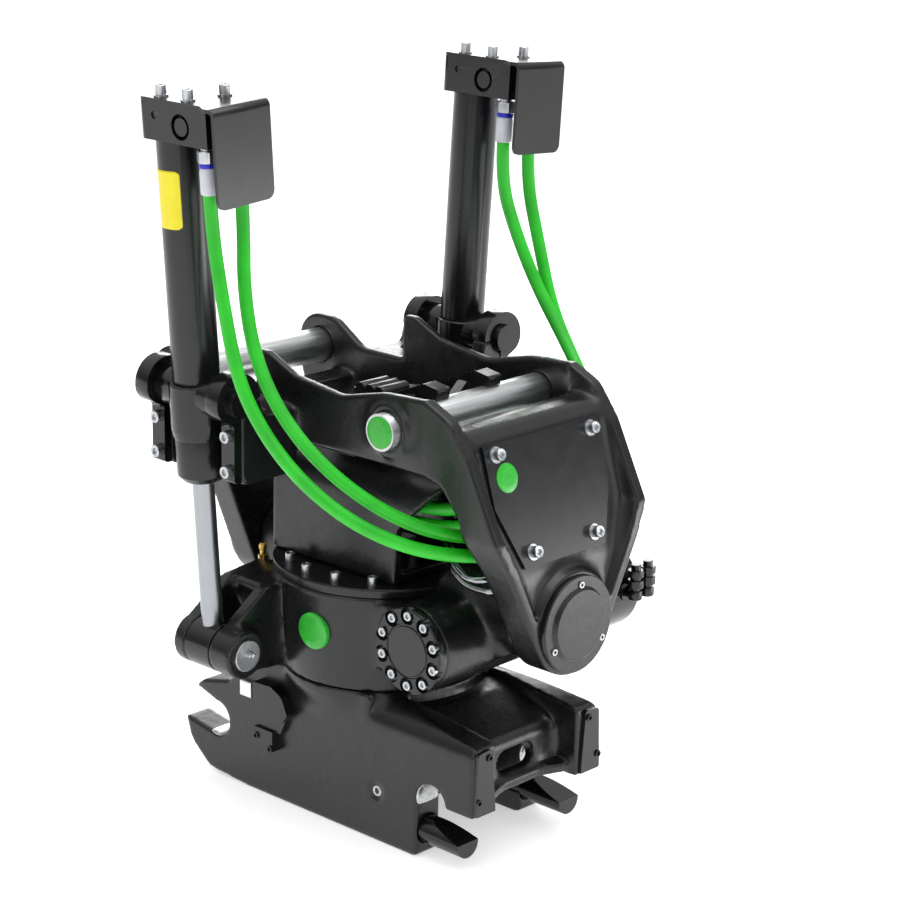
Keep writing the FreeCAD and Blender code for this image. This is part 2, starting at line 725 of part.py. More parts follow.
def rotor_housing():
    """The rotor housing with its worm case, the two noses and the four clevis arms."""
    base = S.housing_bottom_z
    shell = turned([(0, base), (S.housing_r, base), (S.housing_r + 7, base + 50, 40),
                    (S.rim_r - 2, base + 110, 40), (S.rim_r, S.rim_z, 5), (0, S.rim_z)])
    worm_case = cylinder(S.worm_case_r, S.worm_end_y * 2, S.worm_x, -S.worm_end_y, S.worm_z,
                         ALONG_Y)
    cheeks = box(60, S.worm_x, -120, 120, S.worm_z - S.worm_case_r + 6, S.rim_z - 6)
    nose_r = S.axle_r + 18
    front_nose = cylinder(nose_r, S.ring_front_x - S.ring_length - NECK_GAP - 140, 140, 0,
                          S.tilt_axis_z, ALONG_X)
    flange = cylinder(nose_r + 8, 14, S.ring_front_x - S.ring_length - NECK_GAP - 14, 0,
                      S.tilt_axis_z, ALONG_X)
    rear_end = S.rear_plate_x + NECK_GAP
    rear_nose = cylinder(nose_r, -rear_end - 130, rear_end, 0, S.tilt_axis_z, ALONG_X)
    flange_x = S.ring_front_x - S.ring_length - NECK_GAP
    gusset = [(S.worm_x, S.worm_z - 52), (flange_x - 3, S.tilt_axis_z - nose_r * 0.8),
              (flange_x - 3, S.tilt_axis_z), (S.worm_x, S.tilt_axis_z)]
    gussets = [across(gusset, y, y + 10) for y in (-42, 32)]
    outside = fuse(shell, worm_case, cheeks, front_nose, flange, rear_nose, clevis(1), clevis(-1),
                   *gussets)
    cover_room = cylinder(S.rim_r + 2, 100, 0, 0, S.rim_z)
    gear_room = cylinder(S.gear_r + 2, 100, 0, 0, GEAR_Z - 2)
    neck_room = cylinder(S.neck_r + 1, 200, 0, 0, base - 10)
    worm_room = cylinder(S.worm_bore_r, S.worm_end_y * 2 + 20, S.worm_x, -S.worm_end_y - 10,
                         S.worm_z, ALONG_Y)
    front_seat = cylinder(S.axle_r + BORE, 200, S.worm_x + S.worm_bore_r + 8, 0, S.tilt_axis_z,
                          ALONG_X)
    rear_seat = cylinder(S.axle_r + BORE, 60, rear_end - 30, 0, S.tilt_axis_z, ALONG_X)
    pins = [cylinder(S.rod_pin_r + BORE, 200, S.cylinder_x - 100, side * S.rod_pin_y,
                     S.rod_pin_z, ALONG_X) for side in (1, -1)]
    return cut(outside, cover_room, gear_room, neck_room, worm_room, front_seat, rear_seat, *pins)


def housing_cover():
    """The round cover on the rim, with holes for its screws."""
    plate = turned([(40, S.rim_z), (S.rim_r, S.rim_z), (S.rim_r, S.rim_z + S.cover_plate_t, 3),
                    (40, S.rim_z + S.cover_plate_t)])
    return plate


def ring_places(count, radius, z, first=0):
    step = 360 / count
    return [((radius * math.cos(math.radians(first + step * i)),
              radius * math.sin(math.radians(first + step * i)), z), ALONG_Z)
            for i in range(count)]


def cover_bolts():
    """Screws on the cover; their shanks stand on the plate's spot faces."""
    top = S.rim_z + S.cover_plate_t
    head = turned([(0, 0), (S.bolt_r + 1, 0), (S.bolt_r + 1, 4), (S.bolt_head_r - 1, 4),
                   (S.bolt_head_r - 1, 12, 1), (0, 12)])
    clear_y = float(S.swivel_half_w) + 10
    places = [spot for spot in ring_places(16, float(S.cover_bolt_r), top, 15)
              if abs(spot[0][1]) > clear_y]
    return group(*copies(head, places))


def swivel_housing():
    """The hood over the hydraulic swivel, open to the front for the hoses."""
    base = S.rim_z + S.cover_plate_t
    top = S.swivel_top_z
    wide = S.swivel_half_w
    rear = S.swivel_rear_x
    side = across([(rear, base), (110, base), (112, 440, 25), (192, top - 6, 6), (150, top, 10),
                   (-60, top, 60), (rear, 490, 40)], -wide, wide)
    front = along([(-wide, base), (wide, base), (wide, top - 30, 60), (40, top, 60),
                   (-40, top, 60), (-wide, top - 30, 60)], rear, 200)
    wall = S.swivel_wall
    inner = wide - wall
    arch = along([(-inner, base + 14, 10), (inner, base + 14, 10), (inner, top - 40, 45),
                  (30, top - wall, 45), (-30, top - wall, 45), (-inner, top - 40, 45)], -20, 210)
    return cut(common(side, front), arch)


PORT_X = 82
PORT_Y = 58
NEAR_PORTS = (430, 454)
FAR_PORTS = (446, 470)


def swivel():
    """The swivel column in the hood and its manifold with the four hose ends."""
    base = S.rim_z + S.cover_plate_t
    column = cylinder(34, 30, 20, 0, base + S.swivel_wall)
    manifold = box(-6, 62, -70, 70, base + 40, base + 122)
    ends = [cylinder(S.hose_d / 2 + 2, 26, PORT_X - 26, y, z, ALONG_X)
            for y, heights in ((PORT_Y, NEAR_PORTS), (-PORT_Y, FAR_PORTS)) for z in heights]
    return fuse(column, manifold, *ends)


def tilt_axles():
    """Two stub axles pressed into the noses of the rotor housing."""
    front_start = S.worm_x + S.worm_bore_r + 8
    front = cylinder(S.axle_r, S.ring_front_x - 1 - front_start, front_start, 0, S.tilt_axis_z,
                     ALONG_X)
    rear_start = S.rear_plate_x - S.rear_plate_t + 1
    rear = cylinder(S.axle_r, S.rear_plate_t + 30, rear_start, 0, S.tilt_axis_z, ALONG_X)
    return group(front, rear)


END_BOLTS = 10


def end_bolt_places(offset):
    step = 2 * math.pi / END_BOLTS
    start = -(float(S.worm_end_y) + offset)
    return [(float(S.worm_x) + float(S.end_bolt_r) * math.cos(step * (i + 0.5)), start,
             float(S.worm_z) + float(S.end_bolt_r) * math.sin(step * (i + 0.5)))
            for i in range(END_BOLTS)]


TO_LEFT = Rotation(Vector(1, 0, 0), 90)


def worm_end_cap():
    """The round end cap of the worm case with ten counterbores and a centre disc."""
    plate = turned([(0, 0), (S.worm_case_r, 0), (S.worm_case_r, S.end_cap_t, 3),
                    (38, S.end_cap_t), (37, S.end_cap_t - 2), (35, S.end_cap_t - 2),
                    (34, S.end_cap_t), (0, S.end_cap_t)],
                   S.worm_x, -S.worm_end_y, S.worm_z, TO_LEFT)
    pockets = [cylinder(12, 20, x, y, z, TO_LEFT) for x, y, z in end_bolt_places(6)]
    return cut(plate, *pockets)


def worm_cap_bolts():
    head = turned([(0, 0), (6.5, 0), (6.5, 9, 1), (0, 9)])
    return group(*copies(head, [(point, TO_LEFT) for point in end_bolt_places(6)]))


def worm_shaft():
    """The worm with its journals, turned by the motor."""
    half = S.worm_end_y - 14
    journal = S.worm_r - 16
    return turned([(0, -half), (journal, -half), (journal, -60), (S.worm_r, -48, 4),
                   (S.worm_r, 48, 4), (journal, 60), (journal, half), (0, half)],
                  S.worm_x, 0, S.worm_z, ALONG_Y)


def drive_motor():
    """The hydraulic motor on the right end of the worm case, with its ports."""
    y, radius = S.worm_end_y, S.motor_r
    case = turned([(0, 0), (S.worm_case_r, 0), (S.worm_case_r, 16), (radius - 8, 16),
                   (radius - 8, 24), (radius, 24, 2), (radius, S.motor_length, 14),
                   (0, S.motor_length)], S.worm_x, y, S.worm_z, ALONG_Y)
    ports = box(S.worm_x - 22, S.worm_x + 26, y + 60, y + 92, S.worm_z + 10, MOTOR_TOP)
    bosses = [cylinder(12, 26, S.worm_x + radius - 22, y + off, S.worm_z + 6, ALONG_X)
              for off in MOTOR_PORTS]
    return fuse(case, ports, *bosses)


MOTOR_TOP = S.worm_z + S.motor_r + 6
MOTOR_PORTS = (94, 120)


def motor_fittings():
    """The two pipe unions on top of the motor and the two elbows on its front."""
    union = turned([(0, 0), (9, 0), (9, 7), (11, 7), (11, 18, 1), (8, 18), (8, 26), (0, 26)])
    y = S.worm_end_y
    unions = copies(union, [((S.worm_x + off, y + 76, MOTOR_TOP), ALONG_Z) for off in (-10, 14)])
    elbows = []
    x = S.worm_x + S.motor_r + 4
    for off in MOTOR_PORTS:
        stub = cylinder(5.5, 14, x, y + off, S.worm_z + 6, ALONG_X)
        rise = turned([(0, -6), (10, -6, 3), (10, 8), (7, 8), (7, 12), (11.5, 12, 1), (11.5, 24, 1),
                       (8, 24), (8, 28), (11.5, 28, 1), (11.5, 38, 1), (7, 38), (7, 46, 1), (0, 46)],
                      x + 14, y + off, S.worm_z + 6)
        elbows.append(fuse(stub, rise))
    return group(*unions, *elbows)


def rod_pins():
    """Each rod pin as two stubs that end at the inner faces of the ears."""
    pins = []
    front_x = S.cylinder_x + EAR_IN
    rear_x = S.cylinder_x - EAR_IN
    for side in (1, -1):
        y = side * S.rod_pin_y
        front = turned([(0, 0), (S.rod_pin_r, 0), (S.rod_pin_r, S.front_ear_t),
                        (22, S.front_ear_t), (22, S.front_ear_t + 4, 1), (0, S.front_ear_t + 4)],
                       front_x, y, S.rod_pin_z, ALONG_X)
        rear = turned([(0, 0), (S.rod_pin_r, 0), (S.rod_pin_r, S.rear_ear_t),
                       (26, S.rear_ear_t), (26, S.rear_ear_t + 6, 1), (0, S.rear_ear_t + 6)],
                      rear_x, y, S.rod_pin_z, Rotation(Vector(0, 1, 0), -90))
        pins.extend([front, rear])
    return group(*pins)


def tube(points, radius):
    """A round bar along straight runs that meet in tangent arcs.

    Each arc is as large as its two runs allow. Returns the shape and its length.
    """
    corners = [Vector(*p) for p in points]
    edges = []
    here = corners[0]
    radii = []
    for i in range(1, len(corners) - 1):
        back = (corners[i - 1] - corners[i])
        ahead = (corners[i + 1] - corners[i])
        reach = 0.45 * min(back.Length, ahead.Length)
        back.normalize()
        ahead.normalize()
        half = back.getAngle(ahead) / 2
        bend = reach * math.tan(half)
        radii.append(bend)
        start, end = corners[i] + back * reach, corners[i] + ahead * reach
        middle = (back + ahead).normalize()
        top = corners[i] + middle * (bend / math.sin(half) - bend)
        edges.append(Part.LineSegment(here, start).toShape())
        edges.append(Part.Arc(start, top, end).toShape())
        here = end
    edges.append(Part.LineSegment(here, corners[-1]).toShape())
    wire = Part.Wire(edges)
    circle = Part.Circle(corners[0], (corners[1] - corners[0]), radius).toShape()
    shape = wire.makePipeShell([Part.Wire([circle])], True, False)
    wanted = math.pi * radius ** 2 * wire.Length
    print("tube length %.0f, smallest bend %.0f, volume ratio %.3f"
          % (wire.Length, min(radii), shape.Volume / wanted))
    return shape


def steel_pipes():
    """Two bent steel pipes from the swivel manifold over the front nose to the motor."""
    routes = [
        [(62, -20, 415), (150, -20, 415), (186, -66, 402), (230, -76, 386), (276, -70, 388),
         (276, 0, 418), (272, 76, 398), (206, 140, 396), (177, 210, 429), (177, 210, 398)],
        [(62, -36, 428), (150, -36, 428), (204, -78, 412), (240, -88, 402), (262, -72, 404),
         (262, 0, 422), (258, 84, 402), (222, 150, 404), (201, 210, 433), (201, 210, 398)],
    ]
    node = DOC.addObject("Part::Feature", "pipes")
    node.Shape = Part.makeCompound([tube(route, 4.5) for route in routes])
    return node


def housing():
    """Everything that tilts but does not turn."""
    keep(rotor_housing(), "rotor_housing")
    keep(housing_cover(), "housing_cover")
    keep(cover_bolts(), "cover_bolts")
    keep(swivel_housing(), "swivel_housing")
    keep(swivel(), "hydraulic_swivel")
    keep(tilt_axles(), "tilt_axles")
    keep(worm_end_cap(), "worm_end_cap")
    keep(worm_cap_bolts(), "worm_cap_bolts")
    keep(worm_shaft(), "worm_shaft")
    keep(drive_motor(), "drive_motor")
    keep(motor_fittings(), "motor_fittings")
    keep(rod_pins(), "rod_pins")
    keep(steel_pipes(), "steel_pipes")


FRONT_SEAT_X = S.rear_hook_x + S.pin_spacing
BLOCK_FRONT_X = FRONT_SEAT_X + S.block_reach
PIN_TIP_X = FRONT_SEAT_X + S.lock_pin_reach
PIN_TAIL_X = PIN_TIP_X - S.lock_pin_length
TIE_Z = S.lock_pin_z + S.lock_body_r + 1


def coupler_wall(side):
    """One side wall of the coupler, with the rear hook and the front seat."""
    hook, seat, mouth = S.rear_hook_x, FRONT_SEAT_X, S.coupler_pin_r
    top = S.housing_bottom_z - 1
    front = BLOCK_FRONT_X
    outline = [
        (-157, 0, 30), (seat - mouth, 0, 8), (seat - mouth, S.hook_z), (front, S.hook_z),
        (front, 186, 12), (150, 203, 60), (100, top), (-110, top), (-150, 198, 15),
        (-190, 152, 15), (hook - 30, 138, 8), (hook - 50, 122, 8), (hook - 60, 100),
        (hook - 71, 82, 4), (hook - 58, 38, 40), (hook - 18, 6, 25),
    ]
    outer = S.coupler_half_w
    y0, y1 = (outer - S.coupler_wall, outer)
    section = along([(y0, -5), (y1, -5), (y1, 203, S.shoulder_r), (y0 - 2, 203), (y0 - 2, top + 5),
                     (y0 - 20, top + 5), (y0 - 20, -5)], 92, front + 5)
    behind = box(hook - 100, 92, y0 - 20, y1 + 5, -5, top + 5)
    wall = common(across(outline, y0, y1), fuse(section, behind))
    rear_mouth = cylinder(mouth, 200, hook, y0 - 20, S.hook_z, ALONG_Y)
    opening = across([(hook, S.hook_z - mouth), (hook, S.hook_z + mouth), (hook - 100, 142),
                      (hook - 100, 78)], y0 - 10, y1 + 10)
    front_mouth = cylinder(mouth, 200, seat, y0 - 20, S.hook_z, ALONG_Y)
    pin_start = PIN_TAIL_X - S.lock_stroke - 2
    pocket = box(pin_start - S.yoke_t, PIN_TAIL_X + 2, y0 - 5, S.lock_pin_y + 9,
                 S.lock_pin_z - S.lock_pin_r, S.lock_pin_z + S.lock_pin_r)
    pin_bore = cylinder(S.lock_pin_r + BORE, 400, pin_start, S.lock_pin_y, S.lock_pin_z, ALONG_X)
    side_hole = cylinder(13, 20, 110, outer - 8, 73, ALONG_Y)
    solid = cut(wall, rear_mouth, opening, front_mouth, pocket, pin_bore, side_hole)
    return solid if side > 0 else mirrored(solid)


def coupler_frame():
    """The cast frame of the lower coupler under the rotor."""
    top = S.housing_bottom_z - 1
    inner = S.coupler_half_w - S.coupler_wall + 1
    neck = turned([(0, 150), (S.coupler_half_w - 8, 150), (S.coupler_half_w, 158, 20),
                   (S.housing_r, top - 12, 25), (S.housing_r, top), (S.neck_r, top),
                   (S.neck_r, GEAR_Z), (0, GEAR_Z)])
    deck = across([(-120, top - 20), (-120, 165), (-178, 128, 10), (-178, 60), (-150, 60),
                   (-150, 110, 12), (-100, 150, 20), (150, 150, 30), (238, 128, 20), (238, 92),
                   (253, 92), (253, 160, 20), (160, 190, 40), (120, top - 20)],
                  -inner, inner)
    lip = upward([(240, -inner), (282, -inner), (264, -38, 70), (264, 38, 70), (282, inner),
                  (240, inner)], 92, 106)
    tie = box(-120, 100, -inner, inner, TIE_Z, TIE_Z + 16)
    swivel_room = cylinder(30, 300, 0, 0, 0)
    window = fuse(cylinder(17, 60, 220, -20, 128, ALONG_X), cylinder(17, 60, 220, 20, 128, ALONG_X),
                  box(220, 280, -20, 20, 111, 145))
    return cut(fuse(coupler_wall(1), coupler_wall(-1), neck, deck, lip, tie), swivel_room,
               window)


def ring_gear():
    """The worm wheel that sits on the coupler's neck."""
    inner = S.neck_r - 28
    return turned([(inner, GEAR_Z), (S.gear_r, GEAR_Z), (S.gear_r, GEAR_Z + S.gear_t),
                   (inner, GEAR_Z + S.gear_t)])


def face_plates():
    """Thin plates screwed on the front blocks."""
    outline = [(S.block_inner_y, S.hook_z + 4), (S.coupler_half_w - 1, S.hook_z + 4, 4),
               (S.coupler_half_w - 5, 180, 5), (S.block_inner_y + 8, 183, 5)]
    right = along(outline, BLOCK_FRONT_X, BLOCK_FRONT_X + S.face_plate_t)
    return group(right, mirrored(right))


LOCK_ROD_R = 8
LOCK_FRONT_X = PIN_TAIL_X - S.yoke_t - S.lock_stroke - 2


def lock_cylinder():
    """The cylinder that drives both lock pins, hung under the tie plate."""
    length, end_t, bore = S.lock_body_l, S.lock_end_t, S.lock_body_r - 5
    body = turned([(LOCK_ROD_R + S.face_gap, 0), (S.lock_body_r, 0), (S.lock_body_r, length, 2),
                   (0, length), (0, length - end_t), (bore, length - end_t), (bore, end_t),
                   (LOCK_ROD_R + S.face_gap, end_t)],
                  LOCK_FRONT_X, 0, S.lock_pin_z, Rotation(Vector(0, 1, 0), -90))
    lug = box(LOCK_FRONT_X - length + 20, LOCK_FRONT_X - 20, -12, 12,
              S.lock_pin_z + S.lock_body_r - 3, TIE_Z)
    return fuse(body, lug)


def lock_pins():
    """Two tapered lock pins."""
    pins = []
    for side in (1, -1):
        bar = cylinder(S.lock_pin_r, S.lock_pin_length, PIN_TAIL_X, side * S.lock_pin_y,
                       S.lock_pin_z, ALONG_X)
        ramp = across([(FRONT_SEAT_X - 20, S.lock_pin_z + S.lock_pin_r + 1),
                       (PIN_TIP_X + 1, S.lock_pin_z + 2),
                       (PIN_TIP_X + 1, S.lock_pin_z + 40),
                       (FRONT_SEAT_X - 20, S.lock_pin_z + 40)],
                      side * S.lock_pin_y - 30, side * S.lock_pin_y + 30)
        pins.append(cut(bar, ramp))
    return group(*pins)


def lock_yoke():
    """The crosshead and rod that join both lock pins to the piston."""
    z = S.lock_pin_z
    piston_x = LOCK_FRONT_X - S.lock_end_t - 16 - S.face_gap
    bar = box(PIN_TAIL_X - S.yoke_t, PIN_TAIL_X, -S.lock_pin_y - 8, S.lock_pin_y + 8, z - 12, z + 12)
    rod = cylinder(LOCK_ROD_R, PIN_TAIL_X - S.yoke_t - piston_x, piston_x, 0, z, ALONG_X)
    piston = cylinder(S.lock_body_r - 5 - BORE, 16, piston_x, 0, z, ALONG_X)
    return fuse(bar, rod, piston)


def side_bolts():
    head = turned([(0, 0), (8, 0), (8, 6, 1), (0, 6)])
    outer = S.coupler_half_w - 8
    return group(*copies(head, [((110, outer, 73), ALONG_Y), ((110, -outer, 73), TO_LEFT)]))


def latch_blocks():
    """The hose coupling holders bolted on both sides of the coupler."""
    outer = S.coupler_half_w
    plate = across([(-121, 128), (-62, 128), (-50, 140, 6), (-62, 166, 20), (-84, 176, 8),
                    (-121, 174)], outer, outer + 16)
    step = across([(-119, 106), (-72, 106), (-62, 128), (-119, 128)], outer, outer + 8)
    foot = across([(-122, 76), (-84, 76), (-84, 106), (-122, 106)], outer, outer + 13)
    right = fuse(plate, step, foot)
    return group(right, mirrored(right))


def coupler():
    """Everything that turns with the tool, and the lock that slides in it."""
    keep(coupler_frame(), "coupler_frame")
    keep(ring_gear(), "ring_gear")
    keep(face_plates(), "front_face_plates")
    keep(lock_cylinder(), "lock_cylinder")
    keep(side_bolts(), "side_bolts")
    keep(lock_pins(), "lock_pins")
    keep(lock_yoke(), "lock_yoke")
    keep(latch_blocks(), "latch_blocks")


def cylinder_turn(side):
    """Each tilt cylinder leans outwards at its top."""
    return Rotation(Vector(1, 0, 0), -side * LEAN)


def seated(shape_source, side):
    """A copy of an upright piece on one of the two leaning cylinders."""
    link = copies(shape_source, [((S.cylinder_x, side * S.trunnion_y, S.trunnion_z),
                                  cylinder_turn(side))])[0]
    return group(link)


def barrel():
    return turned([(S.bore_r, -S.collar_down), (S.barrel_r, -S.collar_down),
                   (S.barrel_r, S.barrel_top, 2), (S.bore_r, S.barrel_top)])


def gland():
    bottom = S.gland_bottom
    return turned([(S.rod_r + BORE, bottom), (S.barrel_r - 6, bottom), (S.barrel_r + 2, bottom + 9, 3),
                   (S.barrel_r + 2, -S.collar_down), (S.bore_r - BORE, -S.collar_down),
                   (S.bore_r - BORE, -S.collar_down + 25), (S.rod_r + BORE, -S.collar_down + 25)])


def trunnion_collar():
    """The ring round the barrel with the two trunnion pins."""
    band = turned([(S.barrel_r, -S.collar_down), (S.collar_r - 2, -S.collar_down),
                   (S.collar_r, -S.collar_down + 12, 4), (S.collar_r, S.collar_up, 3),
                   (S.barrel_r, S.collar_up)])
    reach = S.trunnion_arm_x + S.trunnion_arm_t / 2 + 8
    pin = cylinder(S.trunnion_r, reach * 2, -reach, 0, 0, ALONG_X)
    shoulder_end = S.trunnion_arm_x - S.trunnion_arm_t / 2 - 1
    shoulder = cylinder(S.trunnion_r + 8, shoulder_end * 2, -shoulder_end, 0, 0, ALONG_X)
    room = cylinder(S.barrel_r, 400, 0, 0, -200)
    return cut(fuse(band, pin, shoulder), room)


def valve_block():
    """The block on top of the barrel with its cartridge bore and plug."""
    base = S.barrel_top
    half = S.block_w / 2
    body = upward([(-S.block_back, -half, 10), (S.block_front, -half), (S.block_front, half),
                   (-S.block_back, half, 25)], base, base + S.block_h)
    bore = cylinder(17, 12, 46, -half - 1, base + 23, Rotation(Vector(1, 0, 0), -90))
    plug = cylinder(12, 12, 46, -half + 1, base + 23, Rotation(Vector(1, 0, 0), -90))
    small = cylinder(5, 2, -4, -half - 0.01, base + 33, Rotation(Vector(1, 0, 0), -90))
    return fuse(cut(body, bore, small), plug)


def hose_guard():
    """The bent sheet guard: a flat top under the screws and a plate before the hoses."""
    top = S.barrel_top + S.block_h + S.guard_t
    half = S.block_w / 2
    front, sheet = S.guard_x, S.guard_t
    angle = across([(-S.block_back, top - sheet), (front - sheet, top - sheet, 5),
                    (front - sheet, top - S.guard_h), (front, top - S.guard_h),
                    (front, top, 10), (-S.block_back, top)], -S.guard_w / 2, S.guard_w / 2)
    plan = upward([(-S.block_back, -half, 10), (S.block_front - 10, -half, 4),
                   (S.block_front + 6, -S.guard_w / 2, 4), (front + 5, -S.guard_w / 2),
                   (front + 5, S.guard_w / 2), (S.block_front + 6, S.guard_w / 2, 4),
                   (S.block_front - 10, half, 4), (-S.block_back, half, 25)],
                  top - S.guard_h - 5, top + 5)
    plate = along([(-S.guard_w / 2, top - S.guard_h, 12), (S.guard_w / 2, top - S.guard_h, 12),
                   (S.guard_w / 2, top + 1), (-S.guard_w / 2, top + 1)], -60, front + 10)
    return common(angle, plan, plate)


def block_screws():
    top = S.barrel_top + S.block_h + S.guard_t
    screw = turned([(0, 0), (S.bolt_r + 1, 0), (S.bolt_r + 1, 3), (S.bolt_head_r - 1, 3),
                    (S.bolt_head_r - 1, 15, 1), (0, 15)])
    return group(*copies(screw, [((-4, -24, top), ALONG_Z), ((48, -24, top), ALONG_Z),
                                 ((62, 26, top), ALONG_Z)]))


FITTING_X = 82
FITTING_LENGTH = 55


def hose_fittings():
    """Two hose ends screwed up into the valve block."""
    r = S.hose_d / 2
    fitting = turned([(0, -FITTING_LENGTH), (r + 1, -FITTING_LENGTH), (r + 1, -26), (r + 3, -26),
                      (r + 3, -8, 1),
                      (r - 1, -8), (r - 1, 0), (0, 0)])
    return group(*copies(fitting, [((FITTING_X, -S.fitting_y, S.barrel_top), ALONG_Z),
                                   ((FITTING_X, S.fitting_y, S.barrel_top), ALONG_Z)]))


def piston_rod():
    """The rod with its piston inside the barrel and its eye on the rod pin."""
    reach = math.hypot(float(S.trunnion_y - S.rod_pin_y), float(S.trunnion_z - S.rod_pin_z))
    piston_z = S.barrel_top - 215
    bar = turned([(0, -reach + float(S.ear_r) - 6), (S.rod_r, -reach + float(S.ear_r) - 6),
                  (S.rod_r, piston_z), (S.bore_r - BORE, piston_z), (S.bore_r - BORE, piston_z + 30),
                  (0, piston_z + 30)])
    eye = cylinder(S.ear_r, S.eye_w, -S.eye_w / 2, 0, -reach, ALONG_X)
    bore = cylinder(S.rod_pin_r + BORE, S.eye_w + 10, -S.eye_w / 2 - 5, 0, -reach, ALONG_X)
    return cut(fuse(bar, eye), bore)


def cylinders():
    """The two tilt cylinders with what stands on them."""
    pieces = {
        "barrel": barrel(), "gland": gland(), "trunnion_collar": trunnion_collar(),
        "valve_block": valve_block(), "hose_guard": hose_guard(),
        "block_screws": block_screws(), "hose_fittings": hose_fittings(),
        "piston_rod": piston_rod(),
    }
    for name, piece in pieces.items():
        for side, word in ((-1, "left"), (1, "right")):
            keep(seated(piece, side), word + "_" + name)


# Points of each hose after its first run, down to its port on the manifold
HOSES = {
    "left_outer_hose": [
        (6, -303, 760), (32, -304, 672), (78, -299, 606), (134, -283, 550), (190, -250, 504),
        (238, -196, 470), (270, -126, 450), (284, -43, 441), (254, 21, 438), (195, 58, 430),
        (82, 58, 430),
    ],
    "left_inner_hose": [
        (-2, -262, 780), (30, -274, 700), (78, -275, 634), (132, -260, 578), (184, -224, 528),
        (230, -172, 490), (260, -110, 470), (268, -42, 463), (238, 21, 461), (179, 58, 454),
        (82, 58, 454),
    ],
    "right_outer_hose": [
        (6, 303, 760), (32, 304, 672), (78, 299, 608), (134, 283, 556), (190, 250, 520),
        (238, 200, 500), (272, 134, 494), (280, 47, 491), (248, -17, 484), (182, -58, 446),
        (82, -58, 446),
    ],
    "right_inner_hose": [
        (-2, 262, 780), (30, 274, 706), (78, 275, 644), (134, 258, 594), (186, 222, 554),
        (228, 172, 530), (256, 112, 519), (264, 40, 512), (232, -22, 501), (170, -58, 470),
        (82, -58, 470),
    ],
}


def hose_start(side, outer):
    """The centre of the lower face of a hose fitting, and the way down from it."""
    turn = cylinder_turn(side)
    across_block = side * outer * float(S.fitting_y)
    below = float(S.barrel_top) - FITTING_LENGTH
    seat = Vector(float(S.cylinder_x), side * float(S.trunnion_y), float(S.trunnion_z))
    start = seat + turn.multVec(Vector(FITTING_X, across_block, below))
    return start, turn.multVec(Vector(0, 0, -1))


def hose(name):
    """A hose as a plain tube; its first run leaves the fitting along its axis."""
    side = -1 if name.startswith("left") else 1
    start, down = hose_start(side, 1 if "outer" in name else -1)
    points = [tuple(start), tuple(start + down * 60)] + HOSES[name]
    node = DOC.addObject("Part::Feature", "hose")
    node.Shape = tube(points, float(S.hose_d) / 2)
    return node


def hoses():
    for name in HOSES:
        keep(hose(name), name)


def main():
    bracket()
    housing()
    coupler()
    cylinders()
    hoses()
    DOC.recompute()
    check_and_write()


def check_and_write():
    failed = [o.Label for o in DOC.Objects
              if "Invalid" in o.State or "Error" in o.State]
    if failed:
        raise RuntimeError("failed objects: " + ", ".join(failed))
    os.makedirs("parts", exist_ok=True)
    for label, obj in NODES.items():
        shape = obj.Shape
        if shape.isNull() or not shape.isValid():
            raise RuntimeError("bad shape: " + label)
        print("%-24s %3d solids %9.0f cc" % (label, len(shape.Solids), shape.Volume / 1000))
        shape.exportStep("parts/" + label + ".step")


main()
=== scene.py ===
"""Dresses the packed tilt rotator: finishes, cast skins, screws, hoses, light and camera.

Everything is in metres in the frame of the solids: X to the capped front end of the tilt
axle, Y to the right cylinder, Z up from the underside of the coupler.
"""
import json
import math

import bmesh
import bpy
import numpy as np
from mathutils import Matrix, Quaternion, Vector

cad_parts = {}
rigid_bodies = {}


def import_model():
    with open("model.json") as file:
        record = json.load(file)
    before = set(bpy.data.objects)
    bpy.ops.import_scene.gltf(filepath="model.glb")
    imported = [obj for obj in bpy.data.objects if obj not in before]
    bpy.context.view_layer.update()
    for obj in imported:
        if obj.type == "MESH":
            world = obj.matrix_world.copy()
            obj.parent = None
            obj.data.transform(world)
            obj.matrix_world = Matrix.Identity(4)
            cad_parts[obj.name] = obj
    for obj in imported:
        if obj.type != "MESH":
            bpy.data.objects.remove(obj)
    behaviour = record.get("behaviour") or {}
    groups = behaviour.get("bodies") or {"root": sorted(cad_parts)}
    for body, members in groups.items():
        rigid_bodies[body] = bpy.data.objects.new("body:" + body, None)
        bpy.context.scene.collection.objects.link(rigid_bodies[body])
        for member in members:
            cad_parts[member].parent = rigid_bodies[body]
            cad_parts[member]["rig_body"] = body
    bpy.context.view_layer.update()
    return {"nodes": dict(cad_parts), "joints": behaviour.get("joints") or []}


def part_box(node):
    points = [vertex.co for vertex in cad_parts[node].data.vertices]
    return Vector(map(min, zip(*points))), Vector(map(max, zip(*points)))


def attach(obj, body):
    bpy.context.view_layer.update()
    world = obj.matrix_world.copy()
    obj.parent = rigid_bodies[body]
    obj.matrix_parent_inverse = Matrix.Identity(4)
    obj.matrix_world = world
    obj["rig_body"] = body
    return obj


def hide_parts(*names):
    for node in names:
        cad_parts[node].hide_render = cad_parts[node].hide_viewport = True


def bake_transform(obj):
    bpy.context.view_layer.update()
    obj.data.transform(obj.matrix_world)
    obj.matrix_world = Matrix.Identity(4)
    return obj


bl_info = {
    "name": "Tilt Rotator Dressing",
    "version": (1, 0, 0),
    "blender": (4, 5, 0),
    "location": "View3D > Sidebar > Tilt Rotator",
    "description": "Finishes, castings, screws, hoses, light and camera of a tilt rotator",
    "category": "Add Mesh",
}

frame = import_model()
NODES = frame["nodes"]
JOINTS = {joint["name"]: joint for joint in frame["joints"]}
TILT_AXIS = Vector(JOINTS["tilt"]["pos_m"])
MM = 0.001

# Each side's name and the sign of its Y
SIDES = {"left": -1, "right": 1}

# Corners closer than this are one corner
WELD = 0.00001

